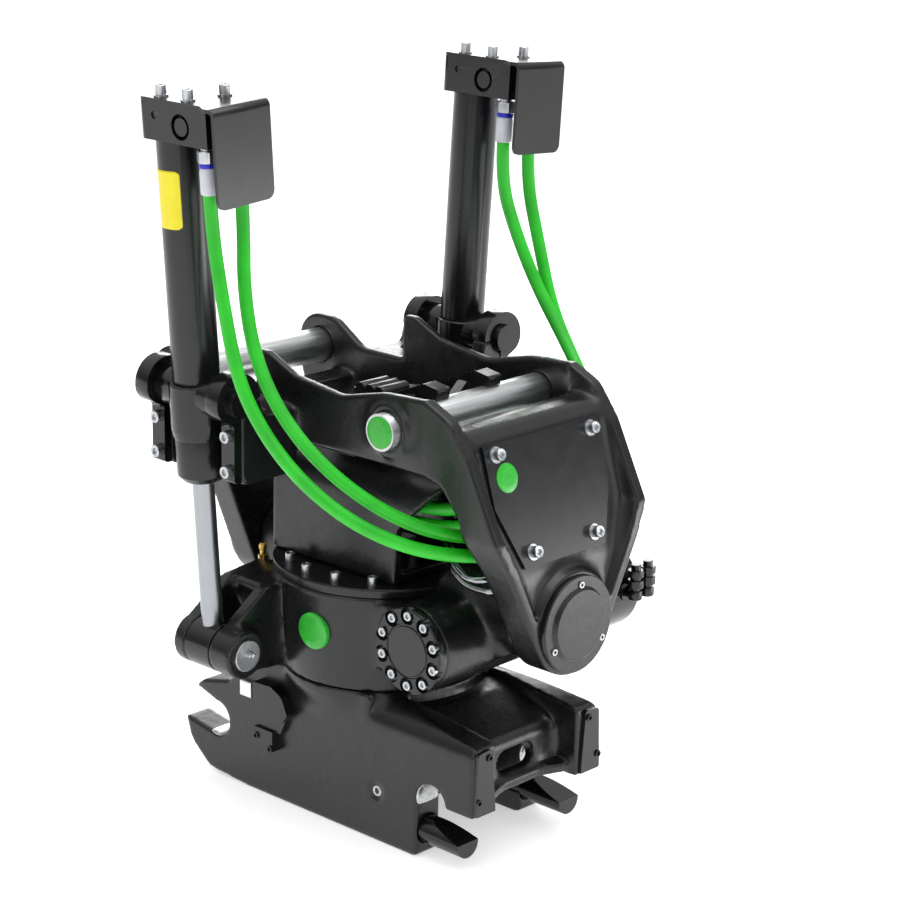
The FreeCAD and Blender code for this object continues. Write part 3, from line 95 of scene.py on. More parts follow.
# Places on the solids, in metres. A hook seat is the X and Z of its line and its radius
HOOK_SEATS = ((-0.216, 0.087, 0.0272), (0.214, 0.087, 0.0272))
ROD_PIN_Y, ROD_PIN_Z = 0.232, 0.260
ROD_EYE_REACH = 0.046
FRONT_COVER_WAY = (0.956, 0, 0.295)
HOUSING_DISC = ((0.016, -0.1545, 0.290), (0.05, -1, -0.02))
COVER_DISC = ((0.2972, -0.0801, 0.554), FRONT_COVER_WAY)
FRONT_PIN_X, FRONT_PIN_Z = 0.156, 0.603
BREATHER_SEAT = ((-0.1398, -0.1041, 0.3443), (0, 0, 1))
AXLE_CAP_FACE_X = 0.3578
AXLE_CAP_SCREW_CIRCLE = 0.055
AXLE_CAP_SCREW_ANGLES = (88, 208, 328)
COUPLER_FACE_X = 0.2958
COUPLER_FACE_SCREWS_YZ = ((0.121, 0.112), (0.101, 0.171))
LATCH_FACE_Y = 0.1397
LATCH_SCREWS_XZ = ((-0.1164, 0.0932), (-0.0883, 0.0802))
LATCH_NUB_X, LATCH_NUB_Y, LATCH_NUB_Z = -0.147, 0.1268, 0.153


# Colour and nodes


def linear(hex_colour):
    """Linear red, green, blue and alpha of an sRGB hex colour."""
    channels = [int(hex_colour[i:i + 2], 16) / 255 for i in (1, 3, 5)]
    return [c / 12.92 if c <= 0.04045 else ((c + 0.055) / 1.055) ** 2.4 for c in channels] + [1]


def add_node(tree, kind, settings=None, links=None):
    """Add a shader node, set its properties and sockets, and link its inputs."""
    node = tree.nodes.new(kind)
    for name, value in (settings or {}).items():
        if isinstance(name, str) and hasattr(node, name):
            setattr(node, name, value)
        else:
            node.inputs[name].default_value = value
    for name, source in (links or {}).items():
        tree.links.new(source, node.inputs[name])
    return node


# Most values of a noise lie between these
NOISE_LOW, NOISE_HIGH = 0.3, 0.7


def new_material(name, metallic=0.0, stretch=(1, 1, 1)):
    """A material, its nodes, its shader and its object coordinates, stretched where the
    grain runs along one axis."""
    material = bpy.data.materials.new(name)
    material.use_nodes = True
    tree = material.node_tree
    shader = tree.nodes["Principled BSDF"]
    shader.inputs["Metallic"].default_value = metallic
    place = add_node(tree, "ShaderNodeTexCoord")
    stretched = add_node(tree, "ShaderNodeMapping", {"Scale": stretch},
                         {"Vector": place.outputs["Object"]})
    return material, tree, shader, stretched.outputs["Vector"]


def patches(tree, place, size_mm, colours, detail=3):
    """Patches about size_mm across that go from one colour to another. Returns their
    noise and their colour."""
    noise = add_node(tree, "ShaderNodeTexNoise",
                     {"Scale": 1 / (size_mm * MM), "Detail": detail}, {"Vector": place})
    ramp = add_node(tree, "ShaderNodeValToRGB", links={"Fac": noise.outputs["Fac"]})
    for stop, position, colour in zip(ramp.color_ramp.elements, (NOISE_LOW, NOISE_HIGH),
                                      colours):
        stop.position = position
        stop.color = linear(colour)
    return noise.outputs["Fac"], ramp.outputs["Color"]


def clouded(tree, shader, place, colours, roughness, size_mm, detail=3, rough_mm=None):
    """Let colour and roughness each wander between two values. The roughness follows the
    colour's patches, or patches of its own size rough_mm. Returns the colour's noise."""
    noise, colour = patches(tree, place, size_mm, colours, detail)
    tree.links.new(colour, shader.inputs["Base Color"])
    rough_noise = noise
    if rough_mm:
        rough_noise = add_node(tree, "ShaderNodeTexNoise",
                               {"Scale": 1 / (rough_mm * MM), "Detail": detail},
                               {"Vector": place}).outputs["Fac"]
    level = add_node(tree, "ShaderNodeMapRange",
                     {"From Min": NOISE_LOW, "From Max": NOISE_HIGH,
                      "To Min": roughness[0], "To Max": roughness[1]},
                     {"Value": rough_noise})
    tree.links.new(level.outputs["Result"], shader.inputs["Roughness"])
    return noise


# Materials


def black_enamel(name, colours, roughness, lumps_mm, depth_mm):
    """Black enamel sprayed on iron or steel: a skin with orange peel, so broad highlights
    that waver a little. On sand-cast iron the mould's lumps show under it; on plate they
    are wide and shallow."""
    material, tree, shader, place = new_material(name)
    clouded(tree, shader, place, colours, roughness, 90, rough_mm=25)
    lumps = add_node(tree, "ShaderNodeTexNoise", {"Scale": 1 / (lumps_mm * MM), "Detail": 1},
                     {"Vector": place})
    # The peel of a sprayed coat is about 1.2 mm across; it is drawn at 3 mm to show
    peel_mm, peel_share = 3, 0.05
    peel = add_node(tree, "ShaderNodeTexNoise", {"Scale": 1 / (peel_mm * MM), "Detail": 2},
                    {"Vector": place})
    both = add_node(tree, "ShaderNodeMath", {"operation": "MULTIPLY_ADD", 1: peel_share},
                    {0: peel.outputs["Fac"], 2: lumps.outputs["Fac"]})
    bump = add_node(tree, "ShaderNodeBump", {"Distance": depth_mm * MM},
                    {"Height": both.outputs["Value"]})
    tree.links.new(bump.outputs["Normal"], shader.inputs["Normal"])
    return material


def machined_lands(material, lines):
    """Bare milled steel where the paint stops: within a radius of lines along Y, so the
    hooks show bright pin seats with a crisp paint edge."""
    tree = material.node_tree
    shader = tree.nodes["Principled BSDF"]
    place = add_node(tree, "ShaderNodeTexCoord").outputs["Object"]
    flat = add_node(tree, "ShaderNodeVectorMath", {"operation": "MULTIPLY", 1: (1, 0, 1)},
                    {0: place}).outputs["Vector"]
    mask = None
    for x, z, radius in lines:
        away = add_node(tree, "ShaderNodeVectorMath", {"operation": "DISTANCE", 1: (x, 0, z)},
                        {0: flat}).outputs["Value"]
        inside = add_node(tree, "ShaderNodeMath", {"operation": "LESS_THAN", 1: radius},
                          {0: away}).outputs["Value"]
        if mask is not None:
            inside = add_node(tree, "ShaderNodeMath", {"operation": "MAXIMUM"},
                              {0: inside, 1: mask}).outputs["Value"]
        mask = inside
    painted = shader.inputs["Base Color"].links[0].from_socket
    _, steel = patches(tree, place, 4, ("#a9abad", "#cfd0d1"))
    both = add_node(tree, "ShaderNodeMix", {"data_type": "RGBA"})
    # Of a colour mix, socket 0 is the factor, 6 and 7 the colours, and output 2 the result
    for socket, source in ((0, mask), (6, painted), (7, steel)):
        tree.links.new(source, both.inputs[socket])
    tree.links.new(both.outputs[2], shader.inputs["Base Color"])
    tree.links.new(mask, shader.inputs["Metallic"])
    return material


def hard_chrome(name, axis, roughness):
    """Ground and polished hard chrome on steel: a clear stretched reflection along the bar,
    very slightly uneven round the bar, as grinding leaves it."""
    stretch = [1.0 if letter == axis else 0.06 for letter in "XYZ"]
    material, tree, shader, place = new_material(name, 1.0, stretch)
    clouded(tree, shader, place, ("#9b9ea2", "#a1a4a8"), roughness, 24, detail=1)
    return material


def ground_pin_steel():
    """Ground pin steel, oiled and unplated: pale, with a broad soft streak of light."""
    material, tree, shader, place = new_material("ground_pin_steel", 1.0, (1, 0.06, 1))
    clouded(tree, shader, place, ("#c6c8ca", "#d8dadb"), (0.34, 0.4), 3, detail=2)
    return material


def zinc_plated_steel():
    """Bright zinc plating on rolled steel screws: pale grey, slightly cloudy."""
    material, tree, shader, place = new_material("zinc_plated_steel", 1.0)
    clouded(tree, shader, place, ("#b3b6ba", "#c8cbce"), (0.3, 0.38), 12)
    return material


def milled_steel():
    """Bare milled steel: bright, with cutter marks about 1.5 mm apart across the cut."""
    material, tree, shader, place = new_material("milled_steel", 1.0, (1, 0.08, 1))
    marks = clouded(tree, shader, place, ("#c9cacb", "#f0f1f1"), (0.3, 0.42), 1.5, detail=2)
    bump = add_node(tree, "ShaderNodeBump", {"Distance": 0.03 * MM}, {"Height": marks})
    tree.links.new(bump.outputs["Normal"], shader.inputs["Normal"])
    return material


def turned_bronze():
    """Turned tin bronze of the bushes: warm and satin."""
    material, tree, shader, place = new_material("turned_bronze", 1.0)
    clouded(tree, shader, place, ("#8a6a3a", "#b08a4e"), (0.28, 0.4), 8)
    return material


def turned_brass():
    """Turned brass of the breather: yellow with dulled edges."""
    material, tree, shader, place = new_material("turned_brass", 1.0)
    clouded(tree, shader, place, ("#a3813b", "#e0c069"), (0.22, 0.4), 4)
    return material


def hose_rubber(colours):
    """Extruded synthetic rubber over braid: bright, satin, with the braid's 3 mm pitch
    just felt through the cover."""
    material, tree, shader, place = new_material("green_hose_rubber")
    clouded(tree, shader, place, colours, (0.34, 0.46), 40, rough_mm=12)
    braid = add_node(tree, "ShaderNodeTexNoise", {"Scale": 1 / (3 * MM), "Detail": 1},
                     {"Vector": place})
    bump = add_node(tree, "ShaderNodeBump", {"Distance": 0.12 * MM},
                    {"Height": braid.outputs["Fac"]})
    tree.links.new(bump.outputs["Normal"], shader.inputs["Normal"])
    return material


def plain_coat(name, colours, roughness):
    """Moulded plastic, film or a matt coat: an even colour with a little cloud in it. The
    ferrules' satin zinc has it too, because it looks pale all round and mirrors nothing."""
    material, tree, shader, place = new_material(name)
    clouded(tree, shader, place, colours, roughness, 20, rough_mm=6)
    return material


# The finishes by short name, filled by the operator that makes them
MATERIALS = {}


# Mesh helpers


def link_object(name, data):
    """A new object in the scene for a mesh, a curve, a lamp or a camera."""
    piece = bpy.data.objects.new(name, data)
    bpy.context.scene.collection.objects.link(piece)
    return piece


def finish_mesh(mesh, material):
    """Give a mesh one material and smooth shading."""
    mesh.materials.clear()
    mesh.materials.append(material)
    mesh.polygons.foreach_set("material_index", [0] * len(mesh.polygons))
    mesh.polygons.foreach_set("use_smooth", [True] * len(mesh.polygons))


def link_mesh(name, vertices, faces, material, body):
    """A new mesh object that rides on a body, or is left free."""
    mesh = bpy.data.meshes.new(name)
    mesh.from_pydata([tuple(v) for v in vertices], [], faces)
    mesh.update()
    finish_mesh(mesh, material)
    piece = link_object(name, mesh)
    if body:
        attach(piece, body)
    return piece


def axis_frame(place, axis):
    """A matrix that takes local Z to an axis at a place."""
    turn = Vector((0, 0, 1)).rotation_difference(Vector(axis).normalized())
    return Matrix.Translation(Vector(place)) @ turn.to_matrix().to_4x4()


def hexagon(half_width, flats=6):
    """A radius by angle that draws a hexagon, or another polygon, of that half width
    across its flats."""
    def radius(angle):
        sector = 2 * math.pi / flats
        return half_width / math.cos((angle + sector / 2) % sector - sector / 2)
    return radius


def lathe(rings, sides):
    """Vertices and faces of rings of (radius, height); a radius may be a function of the
    angle. The ends close on their middles."""
    vertices, faces = [], []
    for radius, height in rings:
        for k in range(sides):
            angle = 2 * math.pi * k / sides
            r = radius(angle) if callable(radius) else radius
            vertices.append(Vector((r * math.cos(angle), r * math.sin(angle), height)))
    for i in range(len(rings) - 1):
        for k in range(sides):
            a, b = i * sides + k, i * sides + (k + 1) % sides
            faces.append((a, b, b + sides, a + sides))
    for i, order in ((0, -1), (len(rings) - 1, 1)):
        vertices.append(Vector((0, 0, rings[i][1])))
        hub = len(vertices) - 1
        for k in range(sides):
            edge = (i * sides + k, i * sides + (k + 1) % sides)
            faces.append((*edge[::order], hub))
    return vertices, faces


def stand(name, shape, places, material, body):
    """Copies of one lathed shape at several places, as one piece."""
    vertices, faces = [], []
    for matrix in places:
        start = len(vertices)
        vertices.extend(matrix @ v for v in shape[0])
        faces.extend(tuple(start + i for i in face) for face in shape[1])
    piece = link_mesh(name, vertices, faces, material, body)
    sharpen(piece)
    return piece


def sharpen(piece, degrees=35):
    """Keep edges sharper than an angle crisp under smooth shading."""
    bm = bmesh.new()
    bm.from_mesh(piece.data)
    limit = math.radians(degrees)
    for edge in bm.edges:
        edge.smooth = edge.is_manifold and edge.calc_face_angle(0) < limit
    bm.to_mesh(piece.data)
    bm.free()


def socket_screw(head, height, socket, washer=0.0):
    """A cap screw's round head, with a chamfer and a hexagon socket, on a washer of that
    radius where one is given."""
    chamfer = 0.12 * head
    washer_height, socket_lead, socket_depth = 0.0022, 0.0006, 0.003
    rings = [(head, 0)]
    if washer:
        rings = [(washer, 0), (washer, washer_height), (head, washer_height)]
    recess = hexagon(socket)
    rings += [(head, height - chamfer), (head - chamfer, height), (socket * 1.3, height),
              (recess, height - socket_lead), (recess, height - socket_depth)]
    return lathe(rings, 24)


def islands(node):
    """The corners of each separate solid of a node."""
    bm = bmesh.new()
    bm.from_mesh(NODES[node].data)
    bmesh.ops.remove_doubles(bm, verts=bm.verts, dist=WELD)
    seen, groups = set(), []
    for start in bm.verts:
        if start in seen:
            continue
        seen.add(start)
        group = [start]
        for vert in group:
            for edge in vert.link_edges:
                other = edge.other_vert(vert)
                if other not in seen:
                    seen.add(other)
                    group.append(other)
        groups.append([vert.co.copy() for vert in group])
    bm.free()
    return groups


def screws(node, axis_of, head, height, socket, washer=0.0):
    """Socket screws in place of a node's plain heads, their tops where the solids' are."""
    places = []
    for points in islands(node):
        centre = sum(points, Vector()) / len(points)
        axis = Vector(axis_of(centre)).normalized()
        top = max(point.dot(axis) for point in points)
        centre += (top - height - centre.dot(axis)) * axis
        places.append(axis_frame(centre, axis))
    shape = socket_screw(head, height, socket, washer)
    piece = stand(node + "_heads", shape, places, MATERIALS["zinc"],
                  NODES[node]["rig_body"])
    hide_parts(node)


def cut_copy(name, node, material, keep, bevel_mm=0.0):
    """The part of a node's solid whose faces pass a test, with its own finish."""
    bm = bmesh.new()
    bm.from_mesh(NODES[node].data)
    bmesh.ops.remove_doubles(bm, verts=bm.verts, dist=WELD)
    away = [face for face in bm.faces if not keep(face.calc_center_median())]
    bmesh.ops.delete(bm, geom=away, context="FACES")
    mesh = bpy.data.meshes.new(name)
    bm.to_mesh(mesh)
    bm.free()
    finish_mesh(mesh, material)
    piece = link_object(name, mesh)
    sharpen(piece)
    if bevel_mm:
        round_edges(piece, bevel_mm)
    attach(piece, NODES[node]["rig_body"])
    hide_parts(node)
    return piece


def round_edges(piece, width_mm):
    """A small bevel on the edges where faces turn by more than 32 degrees."""
    bevel = piece.modifiers.new("bevel", "BEVEL")
    bevel.width = width_mm * MM
    bevel.segments = 2
    bevel.limit_method = "ANGLE"
    bevel.angle_limit = math.radians(32)
    bevel.use_clamp_overlap = True


# Skins of the castings


def neighbours(mesh):
    """Edge ends and the count of neighbours of each vertex."""
    ends = np.empty(len(mesh.edges) * 2, np.int32)
    mesh.edges.foreach_get("vertices", ends)
    ends = ends.reshape(-1, 2)
    count = np.bincount(ends.ravel(), minlength=len(mesh.vertices)).astype(float)
    return ends, np.maximum(count, 1)


def mean_offset(points, ends, count):
    """From each point to the middle of its neighbours."""
    total = np.empty_like(points)
    for k in range(3):
        total[:, k] = (
            np.bincount(ends[:, 0], points[ends[:, 1], k], len(points))
            + np.bincount(ends[:, 1], points[ends[:, 0], k], len(points)))
    return total / count[:, None] - points


def soften(mesh, rounds, fills):
    """Round every edge a little, and then fill inner corners as a casting's fillets do."""
    shrink, regrow, lift, steps = 0.5, 0.312, 0.9, 6
    ends, count = neighbours(mesh)
    points = np.empty(len(mesh.vertices) * 3)
    mesh.vertices.foreach_get("co", points)
    points = points.reshape(-1, 3)
    for _ in range(rounds):
        points += shrink * mean_offset(points, ends, count)
        points -= regrow * mean_offset(points, ends, count)
    for _ in range(fills):
        mesh.vertices.foreach_set("co", points.ravel())
        mesh.update()
        normals = np.empty(len(mesh.vertices) * 3, np.float32)
        mesh.vertices.foreach_get("normal", normals)
        normals = normals.reshape(-1, 3)
        for _ in range(steps):
            offset = mean_offset(points, ends, count)
            outwards = np.maximum((offset * normals).sum(1), 0)
            points += lift * outwards[:, None] * normals
    mesh.vertices.foreach_set("co", points.ravel())
    mesh.update()


def cast_skin(name, nodes, material, voxel_mm, rounds=8, fills=10, keep=1.0):
    """One skin over a casting's solids: edges and inner corners rounded as a mould does."""
    bm = bmesh.new()
    for node in nodes:
        bm.from_mesh(NODES[node].data)
    mesh = bpy.data.meshes.new(name)
    bm.to_mesh(mesh)
    bm.free()
    skin = link_object(name, mesh)
    bpy.context.view_layer.objects.active = skin
    skin.select_set(True)
    weld = skin.modifiers.new("weld", "WELD")
    weld.merge_threshold = WELD
    remesh = skin.modifiers.new("remesh", "REMESH")
    remesh.mode = "VOXEL"
    remesh.voxel_size = voxel_mm * MM
    bpy.ops.object.modifier_apply(modifier="weld")
    bpy.ops.object.modifier_apply(modifier="remesh")
    soften(skin.data, rounds, fills)
    if keep < 1:
        decimate = skin.modifiers.new("decimate", "DECIMATE")
        decimate.ratio = keep
        bpy.ops.object.modifier_apply(modifier="decimate")
    skin.select_set(False)
    finish_mesh(skin.data, material)
    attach(skin, NODES[nodes[0]]["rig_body"])
    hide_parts(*nodes)


def dress(node, material, bevel_mm=1.0):
    """A machined or sheet piece: the solid itself, its edges broken by a small bevel."""
    solid = NODES[node]
    solid.data.materials.clear()
    solid.data.materials.append(material)
    if bevel_mm:
        weld = solid.modifiers.new("weld", "WELD")
        weld.merge_threshold = WELD
        round_edges(solid, bevel_mm)


# Settings


class FinishSettings(bpy.types.PropertyGroup):
    """Finishes of the painted and plated pieces."""

    enamel_dark: bpy.props.StringProperty(
        name="Enamel, dark tone", description="sRGB hex of the darker black", default="#0d0e0f")
    enamel_light: bpy.props.StringProperty(
        name="Enamel, light tone", description="sRGB hex of the lighter black",
        default="#161719")
    hose_colour: bpy.props.StringProperty(
        name="Hose cover", description="sRGB hex of the hose cover", default="#24c422")
    patch_colour: bpy.props.StringProperty(
        name="Plain patch", description="sRGB hex of the plain patch on the left barrel",
        default="#f2e422")


class CastingSettings(bpy.types.PropertyGroup):
    """How the castings are skinned."""

    voxel_mm: bpy.props.FloatProperty(
        name="Voxel", description="Mesh size of the cast skins in millimetres",
        default=2.6, min=1, max=8)
    keep: bpy.props.FloatProperty(
        name="Kept faces", description="Share of the skin's faces that stay",
        default=1.0, min=0.05, max=1, subtype="FACTOR")


class HoseSettings(bpy.types.PropertyGroup):
    """The four hydraulic hoses."""

    diameter: bpy.props.FloatProperty(
        name="Diameter", description="Outer diameter of a hose", default=0.018,
        unit="LENGTH")
    sides: bpy.props.IntProperty(
        name="Sides", description="Faces round a hose", default=28, min=8, max=64)


class StageSettings(bpy.types.PropertyGroup):
    """Floor, light and camera."""

    floor_colour: bpy.props.StringProperty(
        name="Floor", description="sRGB hex of the floor", default="#fbfbfb")
    focal_mm: bpy.props.FloatProperty(
        name="Focal length", description="Focal length on a 36 mm sensor", default=106.2)
    roll_deg: bpy.props.FloatProperty(
        name="Roll", description="Roll of the camera in degrees", default=0.84)


GROUPS = {
    "finish": FinishSettings,
    "casting": CastingSettings,
    "hose": HoseSettings,
    "stage": StageSettings,
}


def chosen(group):
    """The values that the user has chosen for a group."""
    return getattr(bpy.context.scene, "rotator_" + group)


# Pieces


class MaterialsOperator(bpy.types.Operator):
    """Make every finish of the tilt rotator"""

    bl_idname = "rotator.materials"
    bl_label = "Finishes"

    def execute(self, context):
        finish = chosen("finish")
        enamel = (finish.enamel_dark, finish.enamel_light)
        MATERIALS.update({
            "casting": black_enamel("enamelled_cast_iron", enamel, (0.24, 0.34), lumps_mm=16,
                                    depth_mm=0.4),
            "coupler": machined_lands(
                black_enamel("painted_coupler_iron", enamel, (0.24, 0.34), lumps_mm=16,
                             depth_mm=0.4), HOOK_SEATS),
            "smooth": black_enamel("enamelled_plate", enamel, (0.24, 0.28), lumps_mm=60,
                                   depth_mm=0.08),
            "gloss": black_enamel("gloss_enamelled_steel", ("#0b0b0c", "#111213"), (0.14, 0.2),
                                  lumps_mm=40, depth_mm=0.08),
            "pin": ground_pin_steel(),
            "rod": hard_chrome("chromed_rod", "Z", (0.28, 0.33)),
            "pipe": hard_chrome("chromed_pipe", "X", (0.12, 0.17)),
            "zinc": zinc_plated_steel(),
            "ferrule": plain_coat("satin_zinc_ferrule", ("#c5c6d0", "#d3d4dc"), (0.3, 0.39)),
            "milled": milled_steel(),
            "bronze": turned_bronze(),
            "brass": turned_brass(),
            "hose": hose_rubber(("#1cad1b", finish.hose_colour)),
            "badge": plain_coat("green_plastic", ("#2ca430", "#34b936"), (0.21, 0.3)),
            "blue": plain_coat("blue_anodised_ring", ("#1f22a8", "#2a2fd0"), (0.26, 0.35)),
            "patch": plain_coat("yellow_vinyl", ("#ead818", finish.patch_colour),
                                (0.31, 0.4)),
        })
        return {"FINISHED"}


class CastingsOperator(bpy.types.Operator):
    """Skin the castings with rounded edges and fillets"""

    bl_idname = "rotator.castings"
    bl_label = "Castings"

    def execute(self, context):
        casting = chosen("casting")
        skins = {
            "bracket_skin": ("front_bearing_plate", "rear_bearing_plate",
                             "left_trunnion_carrier", "right_trunnion_carrier",
                             "left_side_plate", "right_side_plate"),
            "housing_skin": ("rotor_housing",),
            "swivel_skin": ("swivel_housing",),
            "coupler_skin": ("coupler_frame",),
        }
        for name, nodes in skins.items():
            finish = "coupler" if name == "coupler_skin" else "casting"
            cast_skin(name, nodes, MATERIALS[finish], casting.voxel_mm, keep=casting.keep)
        return {"FINISHED"}


class PlatesOperator(bpy.types.Operator):
    """Finish the plates, covers and machined pieces that keep their solids"""

    bl_idname = "rotator.plates"
    bl_label = "Plates and covers"

    def execute(self, context):
        finishes = {
            "casting": ["axle_caps", "coupling_guides", "coupling_block", "housing_cover",
                        "lock_cylinder", "lock_yoke", "hydraulic_swivel"],
            "smooth": ["front_cover", "worm_end_cap", "front_face_plates", "latch_blocks",
                       "left_hose_guard", "right_hose_guard", "left_barrel", "right_barrel",
                       "left_gland", "right_gland"],
            "gloss": ["motor_fittings", "left_trunnion_caps", "right_trunnion_caps",
                      "left_trunnion_collar", "right_trunnion_collar", "drive_motor",
                      "lock_pins", "left_valve_block", "right_valve_block"],
            "milled": ["ring_gear", "worm_shaft", "tilt_axles"],
            "bronze": ["tilt_bushes"],
            "pin": ["front_upper_pin", "rear_upper_pin"],
            "zinc": ["rod_pins"],
            "pipe": ["steel_pipes"],
        }
        for finish, nodes in finishes.items():
            for node in nodes:
                plain = node in ("steel_pipes", "front_cover")
                dress(node, MATERIALS[finish], 0 if plain else 1.0)
        return {"FINISHED"}


def lean(side):
    """The way up along a cylinder, from its rod pin to its trunnion."""
    return -Vector(JOINTS[side + "_stroke"]["axis"]).normalized()


def trunnion(side):
    """The middle of a cylinder's trunnion."""
    return Vector(JOINTS[side + "_swing"]["pos_m"])


class ScrewsOperator(bpy.types.Operator):
    """Stand socket screws where the solids have plain heads"""

    bl_idname = "rotator.screws"
    bl_label = "Screws"

    def execute(self, context):
        def outward(centre):
            return (0, math.copysign(1, centre.y), 0)

        screws("cover_bolts", lambda centre: (0, 0, 1),
               head=0.007, height=0.012, socket=0.0032)
        screws("front_cover_bolts", lambda centre: FRONT_COVER_WAY,
               head=0.008, height=0.013, socket=0.0036, washer=0.011)
        screws("worm_cap_bolts", lambda centre: (0, -1, 0),
               head=0.0065, height=0.009, socket=0.003)
        screws("trunnion_cap_bolts", outward, head=0.0085, height=0.009, socket=0.004)
        screws("side_bolts", outward, head=0.008, height=0.008, socket=0.0038)
        for side in SIDES:
            screws(side + "_block_screws", lambda centre, side=side: lean(side),
                   head=0.007, height=0.015, socket=0.0034, washer=0.0095)
        return {"FINISHED"}


class CylindersOperator(bpy.types.Operator):
    """Chrome bars, rod eyes, hose ends and the plain patch of the cylinders"""

    bl_idname = "rotator.cylinders"
    bl_label = "Cylinders"

    def execute(self, context):
        for side in SIDES:
            self.rod(side)
            self.hose_ends(side)
        self.patch()
        return {"FINISHED"}

    @staticmethod
    def rod(side):
        """The chromed bar and the enamelled eye of a piston rod, each with its own finish."""
        node = side + "_piston_rod"
        pin = Vector((0, SIDES[side] * ROD_PIN_Y, ROD_PIN_Z))

        def at_eye(centre):
            return Vector((0, centre.y - pin.y, centre.z - pin.z)).length < ROD_EYE_REACH

        bar = cut_copy(side + "_chrome_bar", node, MATERIALS["rod"],
                       lambda c: not at_eye(c))
        eye = cut_copy(side + "_rod_eye", node, MATERIALS["gloss"], at_eye, 1.2)

    @staticmethod
    def hose_ends(side):
        """Crimped ferrule, blue ring and hex nut on each hose end."""
        up = lean(side)
        places = [axis_frame(HOSES[side + hose][0], up) for hose in ("_outer", "_inner")]
        ferrule = [(0.0098, -0.006), (0.0112, -0.005), (0.0116, -0.002), (0.0116, 0.024),
                   (0.0111, 0.026), (0.0111, 0.028), (0.0104, 0.0298)]
        nut = hexagon(0.0122)
        parts = {
            "_hose_ferrules": (ferrule, "ferrule"),
            "_hose_rings": ([(0.0116, 0.0295), (0.0119, 0.031), (0.0119, 0.0345),
                             (0.0114, 0.0355)], "blue"),
            "_hose_nuts": ([(0.0115, 0.0352), (nut, 0.0362), (nut, 0.0505), (0.0118, 0.0518),
                            (0.0085, 0.052), (0.0085, 0.0565)], "zinc"),
        }
        for name, (rings, finish) in parts.items():
            piece = stand(side + name, lathe(rings, 36), places, MATERIALS[finish],
                          side + "_cylinder")
            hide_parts(side + "_hose_fittings")

    @staticmethod
    def patch():
        """A plain yellow patch with round corners, laid on the left barrel."""
        up, start = lean("left"), trunnion("left")
        across = Vector((1, 0, 0))
        front = up.cross(across)
        columns, rows = 36, 24
        # Its ends are measured up from the trunnion, its sides round the barrel
        low, high, radius, corner, film = 0.2285, 0.3057, 0.0323, 0.006, 0.0004
        first, last = math.radians(-138), math.radians(-48)
        half = (last - first) / 2 * radius
        vertices, faces = [], []
        for j in range(rows + 1):
            height = low + (high - low) * j / rows
            inset = max(corner - (height - low), corner - (high - height), 0)
            pull = corner - math.sqrt(corner ** 2 - inset ** 2)
            for i in range(columns + 1):
                along = (half - pull) * (2 * i / columns - 1)
                angle = (first + last) / 2 + along / radius
                out = math.cos(angle) * across + math.sin(angle) * front
                vertices.append(start + height * up + radius * out)
        for j in range(rows):
            for i in range(columns):
                a = j * (columns + 1) + i
                faces.append((a, a + 1, a + columns + 2, a + columns + 1))
        piece = link_mesh("plain_patch", vertices, faces, MATERIALS["patch"],
                          "left_cylinder")
        thick = piece.modifiers.new("film", "SOLIDIFY")
        thick.thickness = film


